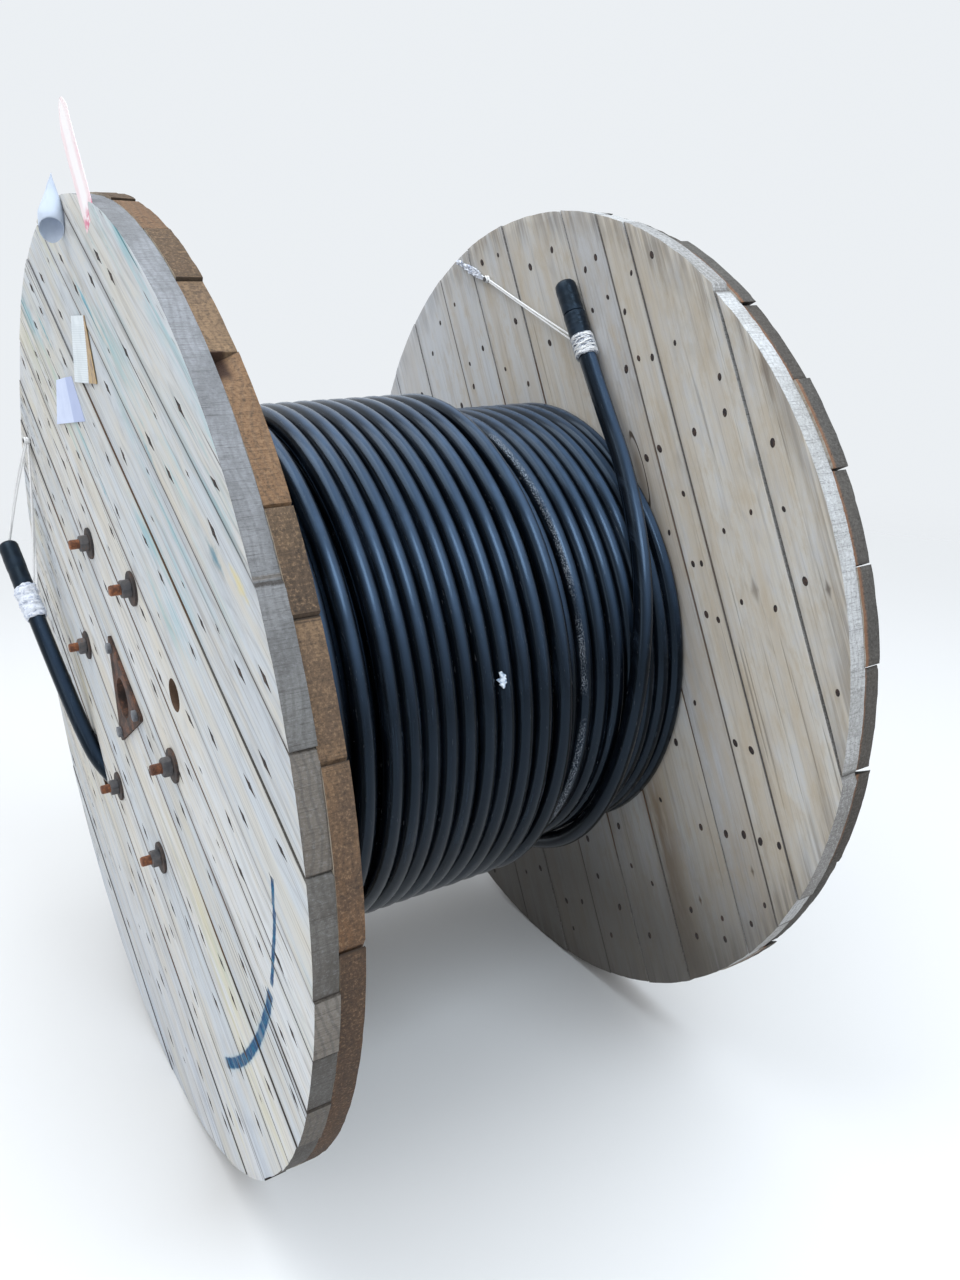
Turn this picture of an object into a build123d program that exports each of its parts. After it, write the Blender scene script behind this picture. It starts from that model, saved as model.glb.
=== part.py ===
from build123d import *
from math import cos, radians, sin, tan
import os

# A wooden cable drum, lying on the rims of its two cheeks as it is rolled and stored.
# The drum's axis runs along X at the height of the cheek radius, +Z is up, and the origin
# is on the ground under the middle of the drum. The near cheek, with the inner end of the
# cable, is at -X.

# Wooden drum
cheek_radius = 900.0
inner_width = 920.0
board_thickness = 37.0
board_gap = 2.5
barrel_radius = 459.0
stave_thickness = 35.0
stave_count = 24
stave_gap = 1.5

# Directions in which the boards of each layer run, in degrees from level
near_outer_direction = 30.5
near_inner_direction = 120.5
far_inner_direction = 64.8
far_outer_direction = 154.8

# Places of the seams across each layer, measured from the axis
near_outer_seams = (-785, -655, -520, -395, -272, -130, 5, 120, 240, 345, 505, 630, 760)
near_inner_seams = (-760, -610, -450, -285, -122, 30, 179, 399, 520, 657, 803)
far_inner_seams = (-760, -610, -440, -275, -100, 50, 207, 420, 523, 595, 776)
far_outer_seams = (-750, -597, -414, -244, -71, 98, 270, 450, 622, 790)

# How far short of the full radius each board was sawn, from the first board across
near_outer_steps = (0, 0, 3, 2, 0, 4, 1, 0, 3, 0, 2, 4, 0, 3)
near_inner_steps = (2, 0, 4, 0, 3, 1, 5, 2, 0, 4, 1, 3)
far_inner_steps = (3, 0, 2, 0, 0, 2, 1, 3, 2, 2, 0, 6)
far_outer_steps = (4, 9, 2, 7, 0, 6, 3, 8, 2, 5, 0)

# Tie rods that clamp the cheeks on the barrel, with a nut and washer at each end
rod_count = 6
rod_circle_radius = 313.0
rod_first_angle = 3.5
rod_radius = 10.0
rod_projection = 40.0
rod_hole_clearance = 0.5
rod_end_chamfer = 1.5
nut_across_flats = 30.0
nut_height = 16.0
nut_clearance = 0.3
washer_radius = 31.0
washer_thickness = 5.0

# Steel bush in each axial hole: a tube welded to a three-cornered plate
axial_hole_radius = 40.0
bush_wall = 4.5
bush_clearance = 0.5
plate_side = 232.0
plate_thickness = 6.0
plate_corner_radius = 8.0
plate_first_angle = 60.0
plate_bolt_radius = 6.0
plate_bolt_circle_radius = 102.0
plate_bolt_across_flats = 19.0
plate_bolt_head_height = 8.0
plate_bolt_length = 65.0
plate_bolt_clearance = 0.3

# Hole for the driving pin of a take-up stand, in the near cheek
drive_hole_radius = 28.0
drive_hole_circle_radius = 389.0
drive_hole_angle = 161.0

# Cable, wound in two layers of which the upper one stops part of the way across
cable_radius = 19.0
turns_across = 24
upper_turns = 16
winding_clearance = 0.3
cable_exit_clearance = 8.0

# Ends of the cable: heat-shrink caps, the tape or string below them and the strings
cap_radius = 22.5
cap_bore_clearance = 0.3
cap_end_thickness = 12.0
cap_end_chamfer = 9.0
near_cap_length = 137.0
near_tape_length = 55.0
near_tape_thickness = 1.5
far_cap_length = 132.0
far_collar_length = 55.0
far_collar_step = 1.2
far_wrap_length = 43.0
far_wrap_thickness = 4.0
string_radius = 3.0
string_clearance = 0.3
nail_radius = 2.5
nail_head_radius = 5.5
nail_head_thickness = 2.0
nail_projection = 14.0
nail_from_rim = 100.0
near_nail_angle = 31.7
far_nail_angle = 72.8
loose_end_from_rim = 14.0
loose_end_angle = 65.6
knot_radius = 10.0
knot_thickness = 10.0
knot_gap = 2.0
knot_clearance = 0.3
strand_spread = 4.0

# Blank papers on the near cheek, each by its corners across the face and up from its top
paper_thickness = 1.5
pouch_thickness = 4.0
pouch_corners = ((32, -195), (-72, -193), (-103, -302), (73, -310))
folded_paper_corners = ((250, -317), (101, -301), (31, -376), (304, -407))
strip_corners = ((-226, -40), (-164, -72), (-58, 107), (-120, 143))
roll_radius = 20.0
roll_mouth_place = (88, -69)
roll_top_place = (18, 18)

# Worked out from the sizes above
inner_half = inner_width / 2
cheek_thickness = 2 * board_thickness
outer_half = inner_half + cheek_thickness
bush_radius = axial_hole_radius + bush_wall
turn_pitch = (inner_width - 2 * winding_clearance) / turns_across
winding_half = inner_half - winding_clearance
winding_bore = barrel_radius + winding_clearance
lower_turn_radius = winding_bore + cable_radius
upper_turn_radius = lower_turn_radius + 2 * cable_radius
upper_layer_end = -winding_half + upper_turns * turn_pitch
groove_depth = turn_pitch / 2 - cable_radius * tan(radians(22.5))
drum_axis = Axis((0, 0, cheek_radius), (1, 0, 0))
cheek_top = 2 * cheek_radius

# Way of the near cable end, from inside the near cheek out and up along its face
near_route = [
    (-420, 261.2, 467),
    (-534, 345, 608),
    (-559, 391, 702),
    (-578, 447, 806),
    (-594, 518, 904),
    (-616, 684, 1074),
]

# Way of the far cable end, from the upper layer over the lower one and up the far cheek
far_winding_turn = radians(27)
far_corner_radius = (upper_turn_radius + winding_clearance) / cos(far_winding_turn / 2)
far_winding_steps = (
    (9, 122),
    (-18, 215),
    (-45, 262),
    (-72, 290),
    (-99, 308),
    (-126, 303),
    (-153, 288),
    (-180, 306),
    (-204, 348),
)
far_route = [
    (
        x,
        far_corner_radius * cos(radians(angle)),
        cheek_radius + far_corner_radius * sin(radians(angle)),
    )
    for angle, x in far_winding_steps
] + [
    (405, -350, 1296.5),
    (424, -245, 1415),
    (437, -96, 1643),
]

os.makedirs("parts", exist_ok=True)


def across(x, turn=0.0):
    """A plane square to the drum's axis, whose own x runs at the given turn from level."""
    direction = (0, cos(radians(turn)), sin(radians(turn)))
    return Plane(origin=(x, 0, cheek_radius), x_dir=direction, z_dir=(1, 0, 0))


def finish(piece, label):
    """Names a finished piece and writes it."""
    piece.part.label = label
    export_step(piece.part, f"parts/{label}.step")


def circle_place(radius, angle):
    """A place on a circle about the drum's axis, as seen along it."""
    return (radius * cos(radians(angle)), radius * sin(radians(angle)))


def bend_radii(route):
    """The largest tangent arc at each inner point of a cord's way."""
    radii = []
    for before, here, after in zip(route, route[1:], route[2:]):
        arriving = Vector(here) - Vector(before)
        leaving = Vector(after) - Vector(here)
        half_turn = radians(arriving.get_angle(leaving)) / 2
        radii.append(0.45 * min(arriving.length, leaving.length) / tan(half_turn))
    return radii


def layer_of_boards(x, direction, seams, steps, near=False):
    """One layer of a cheek: boards side by side, each sawn round at its two ends."""
    edges = [-cheek_radius - board_gap / 2, *seams, cheek_radius + board_gap / 2]
    with BuildPart() as layer:
        for lower, upper, step in zip(edges, edges[1:], steps):
            with BuildSketch(across(x, direction)):
                Circle(cheek_radius - step)
                with Locations((0, (lower + upper) / 2)):
                    Rectangle(2.1 * cheek_radius, upper - lower - board_gap, mode=Mode.INTERSECT)
            extrude(amount=board_thickness)
        with BuildSketch(across(x)):
            Circle(bush_radius + bush_clearance)
            with PolarLocations(rod_circle_radius, rod_count, start_angle=rod_first_angle):
                Circle(rod_radius + rod_hole_clearance)
            with PolarLocations(plate_bolt_circle_radius, 3, start_angle=plate_first_angle):
                Circle(plate_bolt_radius + plate_bolt_clearance)
            if near:
                with Locations(circle_place(drive_hole_circle_radius, drive_hole_angle)):
                    Circle(drive_hole_radius)
        extrude(amount=board_thickness, mode=Mode.SUBTRACT)
        if near:
            for start, end in zip(near_route, near_route[1:3]):
                way = Vector(end) - Vector(start)
                with BuildSketch(Plane(origin=start, z_dir=way.normalized())):
                    Circle(cable_radius + cable_exit_clearance)
                extrude(amount=way.length + cable_radius, mode=Mode.SUBTRACT)
    return layer


# Near cheek: outer layer, then the inner layer across it
finish(
    layer_of_boards(
        -outer_half, near_outer_direction, near_outer_seams, near_outer_steps, near=True
    ),
    "near_cheek_outer_boards",
)
finish(
    layer_of_boards(
        -outer_half + board_thickness,
        near_inner_direction,
        near_inner_seams,
        near_inner_steps,
        near=True,
    ),
    "near_cheek_inner_boards",
)

# Far cheek: inner layer, then the outer layer across it
finish(
    layer_of_boards(inner_half, far_inner_direction, far_inner_seams, far_inner_steps),
    "far_cheek_inner_boards",
)
finish(
    layer_of_boards(
        inner_half + board_thickness, far_outer_direction, far_outer_seams, far_outer_steps
    ),
    "far_cheek_outer_boards",
)

# Barrel: staves side by side between the cheeks, planed round outside
with BuildPart() as barrel_staves:
    with BuildSketch(across(-inner_half)):
        Circle(barrel_radius)
        Circle(barrel_radius - stave_thickness, mode=Mode.SUBTRACT)
        with PolarLocations(barrel_radius - stave_thickness / 2, stave_count):
            Rectangle(2 * stave_thickness, stave_gap, mode=Mode.SUBTRACT)
    extrude(amount=inner_width)
finish(barrel_staves, "barrel_staves")

# Tie rods through both cheeks, inside the barrel
rod_end = outer_half + rod_projection
with BuildPart() as tie_rods:
    with BuildSketch(across(-rod_end)):
        with PolarLocations(rod_circle_radius, rod_count, start_angle=rod_first_angle):
            Circle(rod_radius)
    extrude(amount=2 * rod_end)
    chamfer(tie_rods.edges().filter_by(GeomType.CIRCLE), length=rod_end_chamfer)
finish(tie_rods, "tie_rods")

# Washers on the cheeks' faces and nuts on the washers, at both ends
with BuildPart() as tie_washers:
    for x in (-outer_half - washer_thickness, outer_half):
        with BuildSketch(across(x)):
            with PolarLocations(rod_circle_radius, rod_count, start_angle=rod_first_angle):
                Circle(washer_radius)
                Circle(rod_radius + rod_hole_clearance, mode=Mode.SUBTRACT)
        extrude(amount=washer_thickness)
finish(tie_washers, "tie_washers")

with BuildPart() as tie_nuts:
    for x in (-outer_half - washer_thickness - nut_height, outer_half + washer_thickness):
        with BuildSketch(across(x)):
            with PolarLocations(rod_circle_radius, rod_count, start_angle=rod_first_angle):
                RegularPolygon(nut_across_flats / 2, 6, major_radius=False)
                Circle(rod_radius + nut_clearance, mode=Mode.SUBTRACT)
        extrude(amount=nut_height)
finish(tie_nuts, "tie_nuts")


def bush_plate(side):
    """The welded bush of one cheek; side is -1 at the near cheek and 1 at the far one."""
    face = side * outer_half
    with BuildPart() as bush:
        with BuildSketch(across(face)) as outline:
            RegularPolygon(plate_side / (2 * cos(radians(30))), 3, rotation=plate_first_angle)
            fillet(outline.vertices(), radius=plate_corner_radius)
        extrude(amount=side * plate_thickness)
        with BuildSketch(across(face + side * plate_thickness)):
            Circle(bush_radius)
        extrude(amount=-side * (plate_thickness + cheek_thickness))
        with BuildSketch(across(face)):
            with PolarLocations(plate_bolt_circle_radius, 3, start_angle=plate_first_angle):
                Circle(plate_bolt_radius + plate_bolt_clearance)
        extrude(amount=side * plate_thickness, mode=Mode.SUBTRACT)
        with BuildSketch(across(face + side * plate_thickness)):
            Circle(axial_hole_radius)
        extrude(amount=-side * (plate_thickness + cheek_thickness), mode=Mode.SUBTRACT)
    return bush


finish(bush_plate(-1), "near_bush_plate")
finish(bush_plate(1), "far_bush_plate")

# Screws of the bush plates
with BuildPart() as bush_plate_bolts:
    for side in (-1, 1):
        seat = side * (outer_half + plate_thickness)
        with BuildSketch(across(seat)):
            with PolarLocations(plate_bolt_circle_radius, 3, start_angle=plate_first_angle):
                RegularPolygon(plate_bolt_across_flats / 2, 6, major_radius=False)
        extrude(amount=side * plate_bolt_head_height)
        with BuildSketch(across(seat)):
            with PolarLocations(plate_bolt_circle_radius, 3, start_angle=plate_first_angle):
                Circle(plate_bolt_radius)
        extrude(amount=-side * plate_bolt_length)
finish(bush_plate_bolts, "bush_plate_bolts")

# Cable winding: one turned solid with a bevelled crown for each outer turn of the cable
turn_seams = [-winding_half + turn * turn_pitch for turn in range(turns_across + 1)]
section_plane = Plane(origin=(0, 0, cheek_radius), x_dir=(1, 0, 0), z_dir=(0, -1, 0))
with BuildPart() as cable_winding:
    with BuildSketch(section_plane):
        for start, end, crown_radius, seams in (
            (
                -winding_half,
                upper_layer_end,
                upper_turn_radius + cable_radius,
                turn_seams[: upper_turns + 1],
            ),
            (
                upper_layer_end,
                winding_half,
                lower_turn_radius + cable_radius,
                turn_seams[upper_turns + 1 :],
            ),
        ):
            with Locations(((start + end) / 2, (winding_bore + crown_radius) / 2)):
                Rectangle(end - start, crown_radius - winding_bore)
            with Locations(*[(seam, crown_radius) for seam in seams]):
                RegularPolygon(groove_depth, 4, mode=Mode.SUBTRACT)
    revolve(axis=drum_axis)
finish(cable_winding, "cable_winding")


def cable_tube(route, radius, start_face):
    """A round cable along straight runs joined by tangent arcs, cut flush where it starts."""
    with BuildPart() as tube:
        with BuildLine() as way:
            FilletPolyline(*route, radius=bend_radii(route))
        with BuildSketch(Plane(origin=way.line @ 0, z_dir=way.line % 0)):
            Circle(radius)
        sweep()
        split(bisect_by=start_face, keep=Keep.TOP)
    runs = [(Vector(b) - Vector(a)).length for a, b in zip(route, route[1:])]
    print("cable end: runs", [round(run) for run in runs])
    print("radii", [round(bend) for bend in bend_radii(route)])
    print("length", round(way.wires()[0].length), "volume", round(tube.part.volume))
    return tube


# Inner cable end, off the winding's end, through the near cheek and up beside its face
winding_end_face = Plane(origin=(-winding_half, 0, 0), z_dir=(-1, 0, 0))
finish(cable_tube(near_route, cable_radius, winding_end_face), "inner_cable_end")

# Outer cable end, off the upper layer, over the lower one and up beside the far cheek
upper_layer_face = Plane(origin=(upper_layer_end, 0, 0), z_dir=(1, 0, 0))
finish(cable_tube(far_route, cable_radius, upper_layer_face), "outer_cable_end")


def end_plane(route, distance):
    """A plane across the last run of a cable end, at a distance back from its tip."""
    tip = Vector(route[-1])
    way = (tip - Vector(route[-2])).normalized()
    return Plane(origin=tip - way * distance, z_dir=way)


def shrink_cap(route, length, collar_length=0.0):
    """A heat-shrink cap over a cable's end: a closed cup and, on one, a collar."""
    mouth = end_plane(route, length - cap_end_thickness)
    with BuildPart() as cap:
        with BuildSketch(mouth):
            Circle(cap_radius)
        extrude(amount=length)
        along_cap = Axis(mouth.origin, mouth.z_dir)
        far_edge = cap.edges().filter_by(GeomType.CIRCLE).sort_by(along_cap)[-1]
        chamfer(far_edge, length=cap_end_chamfer)
        if collar_length:
            with BuildSketch(mouth):
                Circle(cap_radius + far_collar_step)
            extrude(amount=collar_length)
        with BuildSketch(mouth):
            Circle(cable_radius + cap_bore_clearance)
        extrude(amount=length - cap_end_thickness, mode=Mode.SUBTRACT)
    return cap


def sleeve(route, cap_length, length, thickness):
    """What is wound round the cable just below its cap."""
    with BuildPart() as wrap:
        with BuildSketch(end_plane(route, cap_length - cap_end_thickness + length)):
            Circle(cable_radius + cap_bore_clearance + thickness)
            Circle(cable_radius + cap_bore_clearance, mode=Mode.SUBTRACT)
        extrude(amount=length)
    return wrap


finish(shrink_cap(near_route, near_cap_length), "inner_cable_cap")
finish(shrink_cap(far_route, far_cap_length, far_collar_length), "outer_cable_cap")
finish(sleeve(near_route, near_cap_length, near_tape_length, near_tape_thickness), "inner_tape_wrap")
finish(sleeve(far_route, far_cap_length, far_wrap_length, far_wrap_thickness), "outer_string_wrap")

# Nails that the strings are tied to, standing proud of the two cheeks
nail_circle_radius = cheek_radius - nail_from_rim
near_nail = across(-outer_half).from_local_coords(circle_place(nail_circle_radius, near_nail_angle))
far_nail = across(inner_half).from_local_coords(circle_place(nail_circle_radius, far_nail_angle))
with BuildPart() as tie_nails:
    for foot, side in ((near_nail, -1), (far_nail, -1)):
        with BuildSketch(Plane(origin=foot, x_dir=(0, 1, 0), z_dir=(side, 0, 0))):
            Circle(nail_radius)
        extrude(amount=nail_projection)
        head = foot + Vector(side * nail_projection, 0, 0)
        with BuildSketch(Plane(origin=head, x_dir=(0, 1, 0), z_dir=(side, 0, 0))):
            Circle(nail_head_radius)
        extrude(amount=nail_head_thickness)
finish(tie_nails, "tie_nails")

# Knots of string round the nails
with BuildPart() as string_knots:
    for foot in (near_nail, far_nail):
        knot_foot = foot - Vector(knot_gap, 0, 0)
        with BuildSketch(Plane(origin=knot_foot, x_dir=(0, 1, 0), z_dir=(-1, 0, 0))):
            Circle(knot_radius)
            Circle(nail_radius + knot_clearance, mode=Mode.SUBTRACT)
        extrude(amount=knot_thickness)
finish(string_knots, "string_knots")


def beside_cable(place, nail, distance, sideways=0.0):
    """A place beside a cable end, on the side that faces a nail."""
    towards = nail - place.origin
    towards = (towards - place.z_dir * towards.dot(place.z_dir)).normalized()
    return place.origin + towards * distance + place.z_dir.cross(towards) * sideways


def beside_knot(nail, target, depth, sideways=0.0):
    """A place just off the knot round a nail, on the side that faces its target."""
    towards = Vector(0, target.Y - nail.Y, target.Z - nail.Z).normalized()
    across_it = Vector(0, -towards.Z, towards.Y)
    reach = knot_radius + string_clearance
    return nail - Vector(depth, 0, 0) + towards * reach + across_it * sideways


# Strings from the far knot to the wrapped cable end, and the loose end up to the rim
knot_middle = knot_gap + knot_thickness / 2
far_wrap_middle = end_plane(far_route, far_cap_length - cap_end_thickness + far_wrap_length / 2)
far_wrap_radius = cable_radius + cap_bore_clearance + far_wrap_thickness
far_start = beside_cable(far_wrap_middle, far_nail, far_wrap_radius + string_radius)
loose_end_plane = across(inner_half - knot_gap - knot_thickness / 2)
loose_end_radius = cheek_radius - loose_end_from_rim
far_rim_end = loose_end_plane.from_local_coords(circle_place(loose_end_radius, loose_end_angle))
outer_strands = [
    (far_start, beside_knot(far_nail, far_start, knot_middle)),
    (beside_knot(far_nail, far_rim_end, knot_middle), far_rim_end),
]

# Strings from the near knot: two over the end of the cap and two round the tape below it
near_tip = end_plane(near_route, -cap_end_thickness - string_radius)
near_tape_place = end_plane(near_route, near_cap_length + near_tape_length / 3)
near_tape_radius = cable_radius + cap_bore_clearance + near_tape_thickness
inner_strands = []
for sideways in (-strand_spread, strand_spread):
    over_cap = beside_cable(near_tip, near_nail, 0.0, sideways)
    inner_strands.append((over_cap, beside_knot(near_nail, over_cap, nail_projection, -sideways)))
    round_tape = beside_cable(near_tape_place, near_nail, near_tape_radius + string_radius, sideways)
    inner_strands.append((round_tape, beside_knot(near_nail, round_tape, knot_middle, -sideways)))
for label, strands in (
    ("outer_tie_strings", outer_strands),
    ("inner_tie_strings", inner_strands),
):
    with BuildPart() as strings:
        for start, end in strands:
            with BuildSketch(Plane(origin=start, z_dir=(end - start).normalized())):
                Circle(string_radius)
            extrude(amount=(end - start).length)
    finish(strings, label)


def flat_sheet(corners, thickness):
    """A blank sheet flat against the near cheek, by its corners across and up."""
    with BuildPart() as sheet:
        with BuildSketch(Plane(origin=(-outer_half, 0, 0), x_dir=(0, 1, 0), z_dir=(-1, 0, 0))):
            Polygon(*[(y, -cheek_top - z) for y, z in corners], align=None)
        extrude(amount=thickness)
    return sheet


# Blank papers fixed to the near cheek
finish(flat_sheet(pouch_corners, pouch_thickness), "document_pouch")
finish(flat_sheet(folded_paper_corners, pouch_thickness), "folded_paper")
finish(flat_sheet(strip_corners, paper_thickness), "marker_strip")

with BuildPart() as paper_roll:
    roll_axis_x = -outer_half - roll_radius
    roll_foot = Vector(roll_axis_x, roll_mouth_place[0], cheek_top + roll_mouth_place[1])
    roll_top = Vector(roll_axis_x, roll_top_place[0], cheek_top + roll_top_place[1])
    with BuildSketch(Plane(origin=roll_foot, z_dir=(roll_top - roll_foot).normalized())):
        Circle(roll_radius)
        Circle(roll_radius - paper_thickness, mode=Mode.SUBTRACT)
    extrude(amount=(roll_top - roll_foot).length)
finish(paper_roll, "paper_roll")
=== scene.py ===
import bpy
import random
from itertools import product
from math import cos, hypot, pi, radians, sin
from mathutils import Matrix, Vector, noise
from mathutils.bvhtree import BVHTree


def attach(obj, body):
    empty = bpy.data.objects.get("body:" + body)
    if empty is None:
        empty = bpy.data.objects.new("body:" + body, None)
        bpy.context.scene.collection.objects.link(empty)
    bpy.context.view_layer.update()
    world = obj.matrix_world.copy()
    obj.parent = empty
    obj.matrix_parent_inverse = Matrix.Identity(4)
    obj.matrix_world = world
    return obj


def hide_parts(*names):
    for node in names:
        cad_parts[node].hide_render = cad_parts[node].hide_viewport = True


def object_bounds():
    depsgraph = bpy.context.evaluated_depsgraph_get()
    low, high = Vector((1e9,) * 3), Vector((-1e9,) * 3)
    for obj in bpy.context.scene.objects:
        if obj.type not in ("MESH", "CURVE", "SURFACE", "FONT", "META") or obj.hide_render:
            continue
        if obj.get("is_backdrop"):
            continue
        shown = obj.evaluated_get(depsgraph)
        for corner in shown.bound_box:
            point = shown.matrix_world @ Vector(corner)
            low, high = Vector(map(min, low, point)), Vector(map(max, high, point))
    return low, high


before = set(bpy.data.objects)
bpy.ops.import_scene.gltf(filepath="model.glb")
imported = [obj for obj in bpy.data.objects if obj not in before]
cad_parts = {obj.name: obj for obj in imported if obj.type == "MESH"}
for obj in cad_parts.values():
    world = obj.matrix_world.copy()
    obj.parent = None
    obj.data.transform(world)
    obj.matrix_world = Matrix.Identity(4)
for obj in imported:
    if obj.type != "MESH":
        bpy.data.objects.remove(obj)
cad_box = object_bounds()

# Camera
# Set where the photographer stood: at eye level beside the near cheek, looking along the
# winding and down at it.
eye = Vector((-0.9298, -1.9432, 1.6354))
yaw, pitch, roll = radians(31.78), radians(-18.617), radians(-0.713)
ahead = Vector((sin(yaw) * cos(pitch), cos(yaw) * cos(pitch), sin(pitch)))
level_right = Vector((cos(yaw), -sin(yaw), 0))
level_up = level_right.cross(ahead)
right = level_right * cos(roll) + level_up * sin(roll)
up = level_up * cos(roll) - level_right * sin(roll)
bpy.ops.object.camera_add()
camera = bpy.context.object
camera.matrix_world = Matrix.Translation(eye) @ Matrix((right, up, -ahead)).transposed().to_4x4()
camera.data.lens = 29.03
camera.data.sensor_width = 36
camera.data.clip_end = 100
bpy.context.scene.camera = camera

# Cable ends
# Two lengths of the same black sheathed power cable. The inner one comes out of the winding
# through a rough hole in the near cheek, the outer one off the last turn of the upper layer;
# both are tied up to a nail. Their ways repeat the CAD's, in metres.
drum_height = 0.9
cable_radius = 0.019
upper_turn_radius = 0.5163
near_way = [
    (-0.4405, 0.1007, 0.4324),
    (-0.420, 0.2612, 0.467),
    (-0.534, 0.345, 0.608),
    (-0.559, 0.391, 0.702),
    (-0.578, 0.447, 0.806),
    (-0.594, 0.518, 0.904),
    (-0.616, 0.684, 1.074),
]
last_turn_place, last_turn_angle = 0.1335, 22.5
winding_steps = [(9, 0.137), (-18, 0.205), (-45, 0.262), (-72, 0.290), (-99, 0.308)]
winding_steps += [(-126, 0.303), (-153, 0.288), (-180, 0.306), (-204, 0.348)]
corner_radius = upper_turn_radius / cos(radians(13.5))


def round_axis(x, reach, angle):
    """A place at a distance from the drum's axis, at an angle up from +Y."""
    return Vector((x, reach * cos(angle), drum_height + reach * sin(angle)))


far_way = [round_axis(last_turn_place, upper_turn_radius, radians(last_turn_angle))]
far_way += [round_axis(x, corner_radius, radians(angle)) for angle, x in winding_steps]
far_way += [(0.405, -0.350, 1.2965), (0.424, -0.245, 1.415), (0.437, -0.096, 1.643)]


def added(name, data):
    """A new object for the given mesh, curve or lamp."""
    made = bpy.data.objects.new(name, data)
    bpy.context.scene.collection.objects.link(made)
    return made


def curve_through(name, kind, points, radius, resolution, caps=True):
    """A round bar of one open spline, and that spline."""
    curve = bpy.data.curves.new(name, "CURVE")
    curve.dimensions = "3D"
    curve.bevel_depth = radius
    curve.bevel_resolution = resolution
    curve.use_fill_caps = caps
    spline = curve.splines.new(kind)
    spline.points.add(len(points) - 1)
    for control, place in zip(spline.points, points):
        control.co = (*place, 1)
    return added(name, curve), spline


def cord_curve(name, points, radius, resolution=16):
    """A cord: one open smooth spline through the given way, with a round section."""
    cord, spline = curve_through(name, "NURBS", points, radius, 6)
    spline.order_u = 3
    spline.use_endpoint_u = True
    spline.resolution_u = resolution
    return cord


inner_end = cord_curve("inner_cable", near_way, cable_radius)
outer_end = cord_curve("outer_cable", far_way, cable_radius)


class Shade:
    """One value in a shader, with Python's own signs for its maths."""

    def __init__(self, nodes, socket):
        self.nodes = nodes
        self.socket = socket

    def maths(self, operation, *values):
        return self.nodes.node("ShaderNodeMath", {"operation": operation}, dict(enumerate(values)))

    def __add__(self, other):
        return self.maths("ADD", self, other)

    def __sub__(self, other):
        return self.maths("SUBTRACT", self, other)

    def __rsub__(self, other):
        return self.maths("SUBTRACT", other, self)

    def __mul__(self, other):
        return self.maths("MULTIPLY", self, other)

    def __truediv__(self, other):
        return self.maths("DIVIDE", self, other)

    __radd__ = __add__
    __rmul__ = __mul__

    def __abs__(self):
        return self.maths("ABSOLUTE", self)

    def most(self, other):
        return self.maths("MAXIMUM", self, other)

    def sine(self):
        return self.maths("SINE", self)

    def root(self):
        return self.maths("SQRT", self)

    def between(self, low, high):
        """0 at low, 1 at high, and smooth between them; high may be the smaller."""
        values = {"Value": self, "From Min": low, "From Max": high}
        settings = {"interpolation_type": "SMOOTHSTEP"}
        return self.nodes.node("ShaderNodeMapRange", settings, values)


class Nodes:
    """A node tree that nodes are added to."""

    def __init__(self, tree):
        self.tree = tree

    def node(self, kind, settings, values, output=0):
        """Adds a node with its settings, then sets or links its sockets."""
        node = self.tree.nodes.new(kind)
        for setting, value in settings.items():
            setattr(node, setting, value)
        for socket, value in values.items():
            if isinstance(value, Shade):
                self.tree.links.new(value.socket, node.inputs[socket])
            else:
                node.inputs[socket].default_value = value
        return Shade(self, node.outputs[output])

    def parts(self, vector):
        """A vector's three values."""
        return [self.node("ShaderNodeSeparateXYZ", {}, {0: vector}, part) for part in range(3)]


class Finish(Nodes):
    """A material: its Principled shader and the nodes that feed it."""

    def __init__(self, name, **constants):
        self.material = bpy.data.materials.new(name)
        self.material.use_nodes = True
        super().__init__(self.material.node_tree)
        self.shader = self.tree.nodes["Principled BSDF"]
        for socket, value in constants.items():
            self.shader.inputs[socket.replace("_", " ")].default_value = value

    def feed(self, socket, value):
        self.tree.links.new(value.socket, self.shader.inputs[socket])

    def place(self):
        """The place on the object, as three values."""
        return self.parts(self.node("ShaderNodeTexCoord", {}, {}, "Object"))

    def facing(self):
        """The way that the surface faces, as three values."""
        return self.parts(self.node("ShaderNodeNewGeometry", {}, {}, "Normal"))

    def at(self, x, y, z):
        return self.node("ShaderNodeCombineXYZ", {}, {0: x, 1: y, 2: z})

    def noise(self, where, scale=1.0, detail=3.0, rough=0.55, twist=0.0):
        sizes = {"Scale": scale, "Detail": detail, "Roughness": rough, "Distortion": twist}
        values = {"Vector": self.at(*where), **sizes}
        return self.node("ShaderNodeTexNoise", {"noise_dimensions": "3D"}, values)

    def mix(self, first, second, share):
        """A colour that goes from the first to the second as the share goes from 0 to 1."""
        first, second = (
            colour if isinstance(colour, Shade) else (*colour, 1.0) for colour in (first, second)
        )
        return self.node("ShaderNodeMix", {"data_type": "RGBA"}, {0: share, 6: first, 7: second}, 2)

    def over(self, colour, *coats):
        """A colour with others laid over it in turn, each by its share."""
        for coat, share in coats:
            colour = self.mix(colour, coat, share)
        return colour

    def bump(self, height, depth, strength=1.0):
        values = {"Height": height, "Distance": depth, "Strength": strength}
        self.feed("Normal", self.node("ShaderNodeBump", {}, values))


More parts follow.
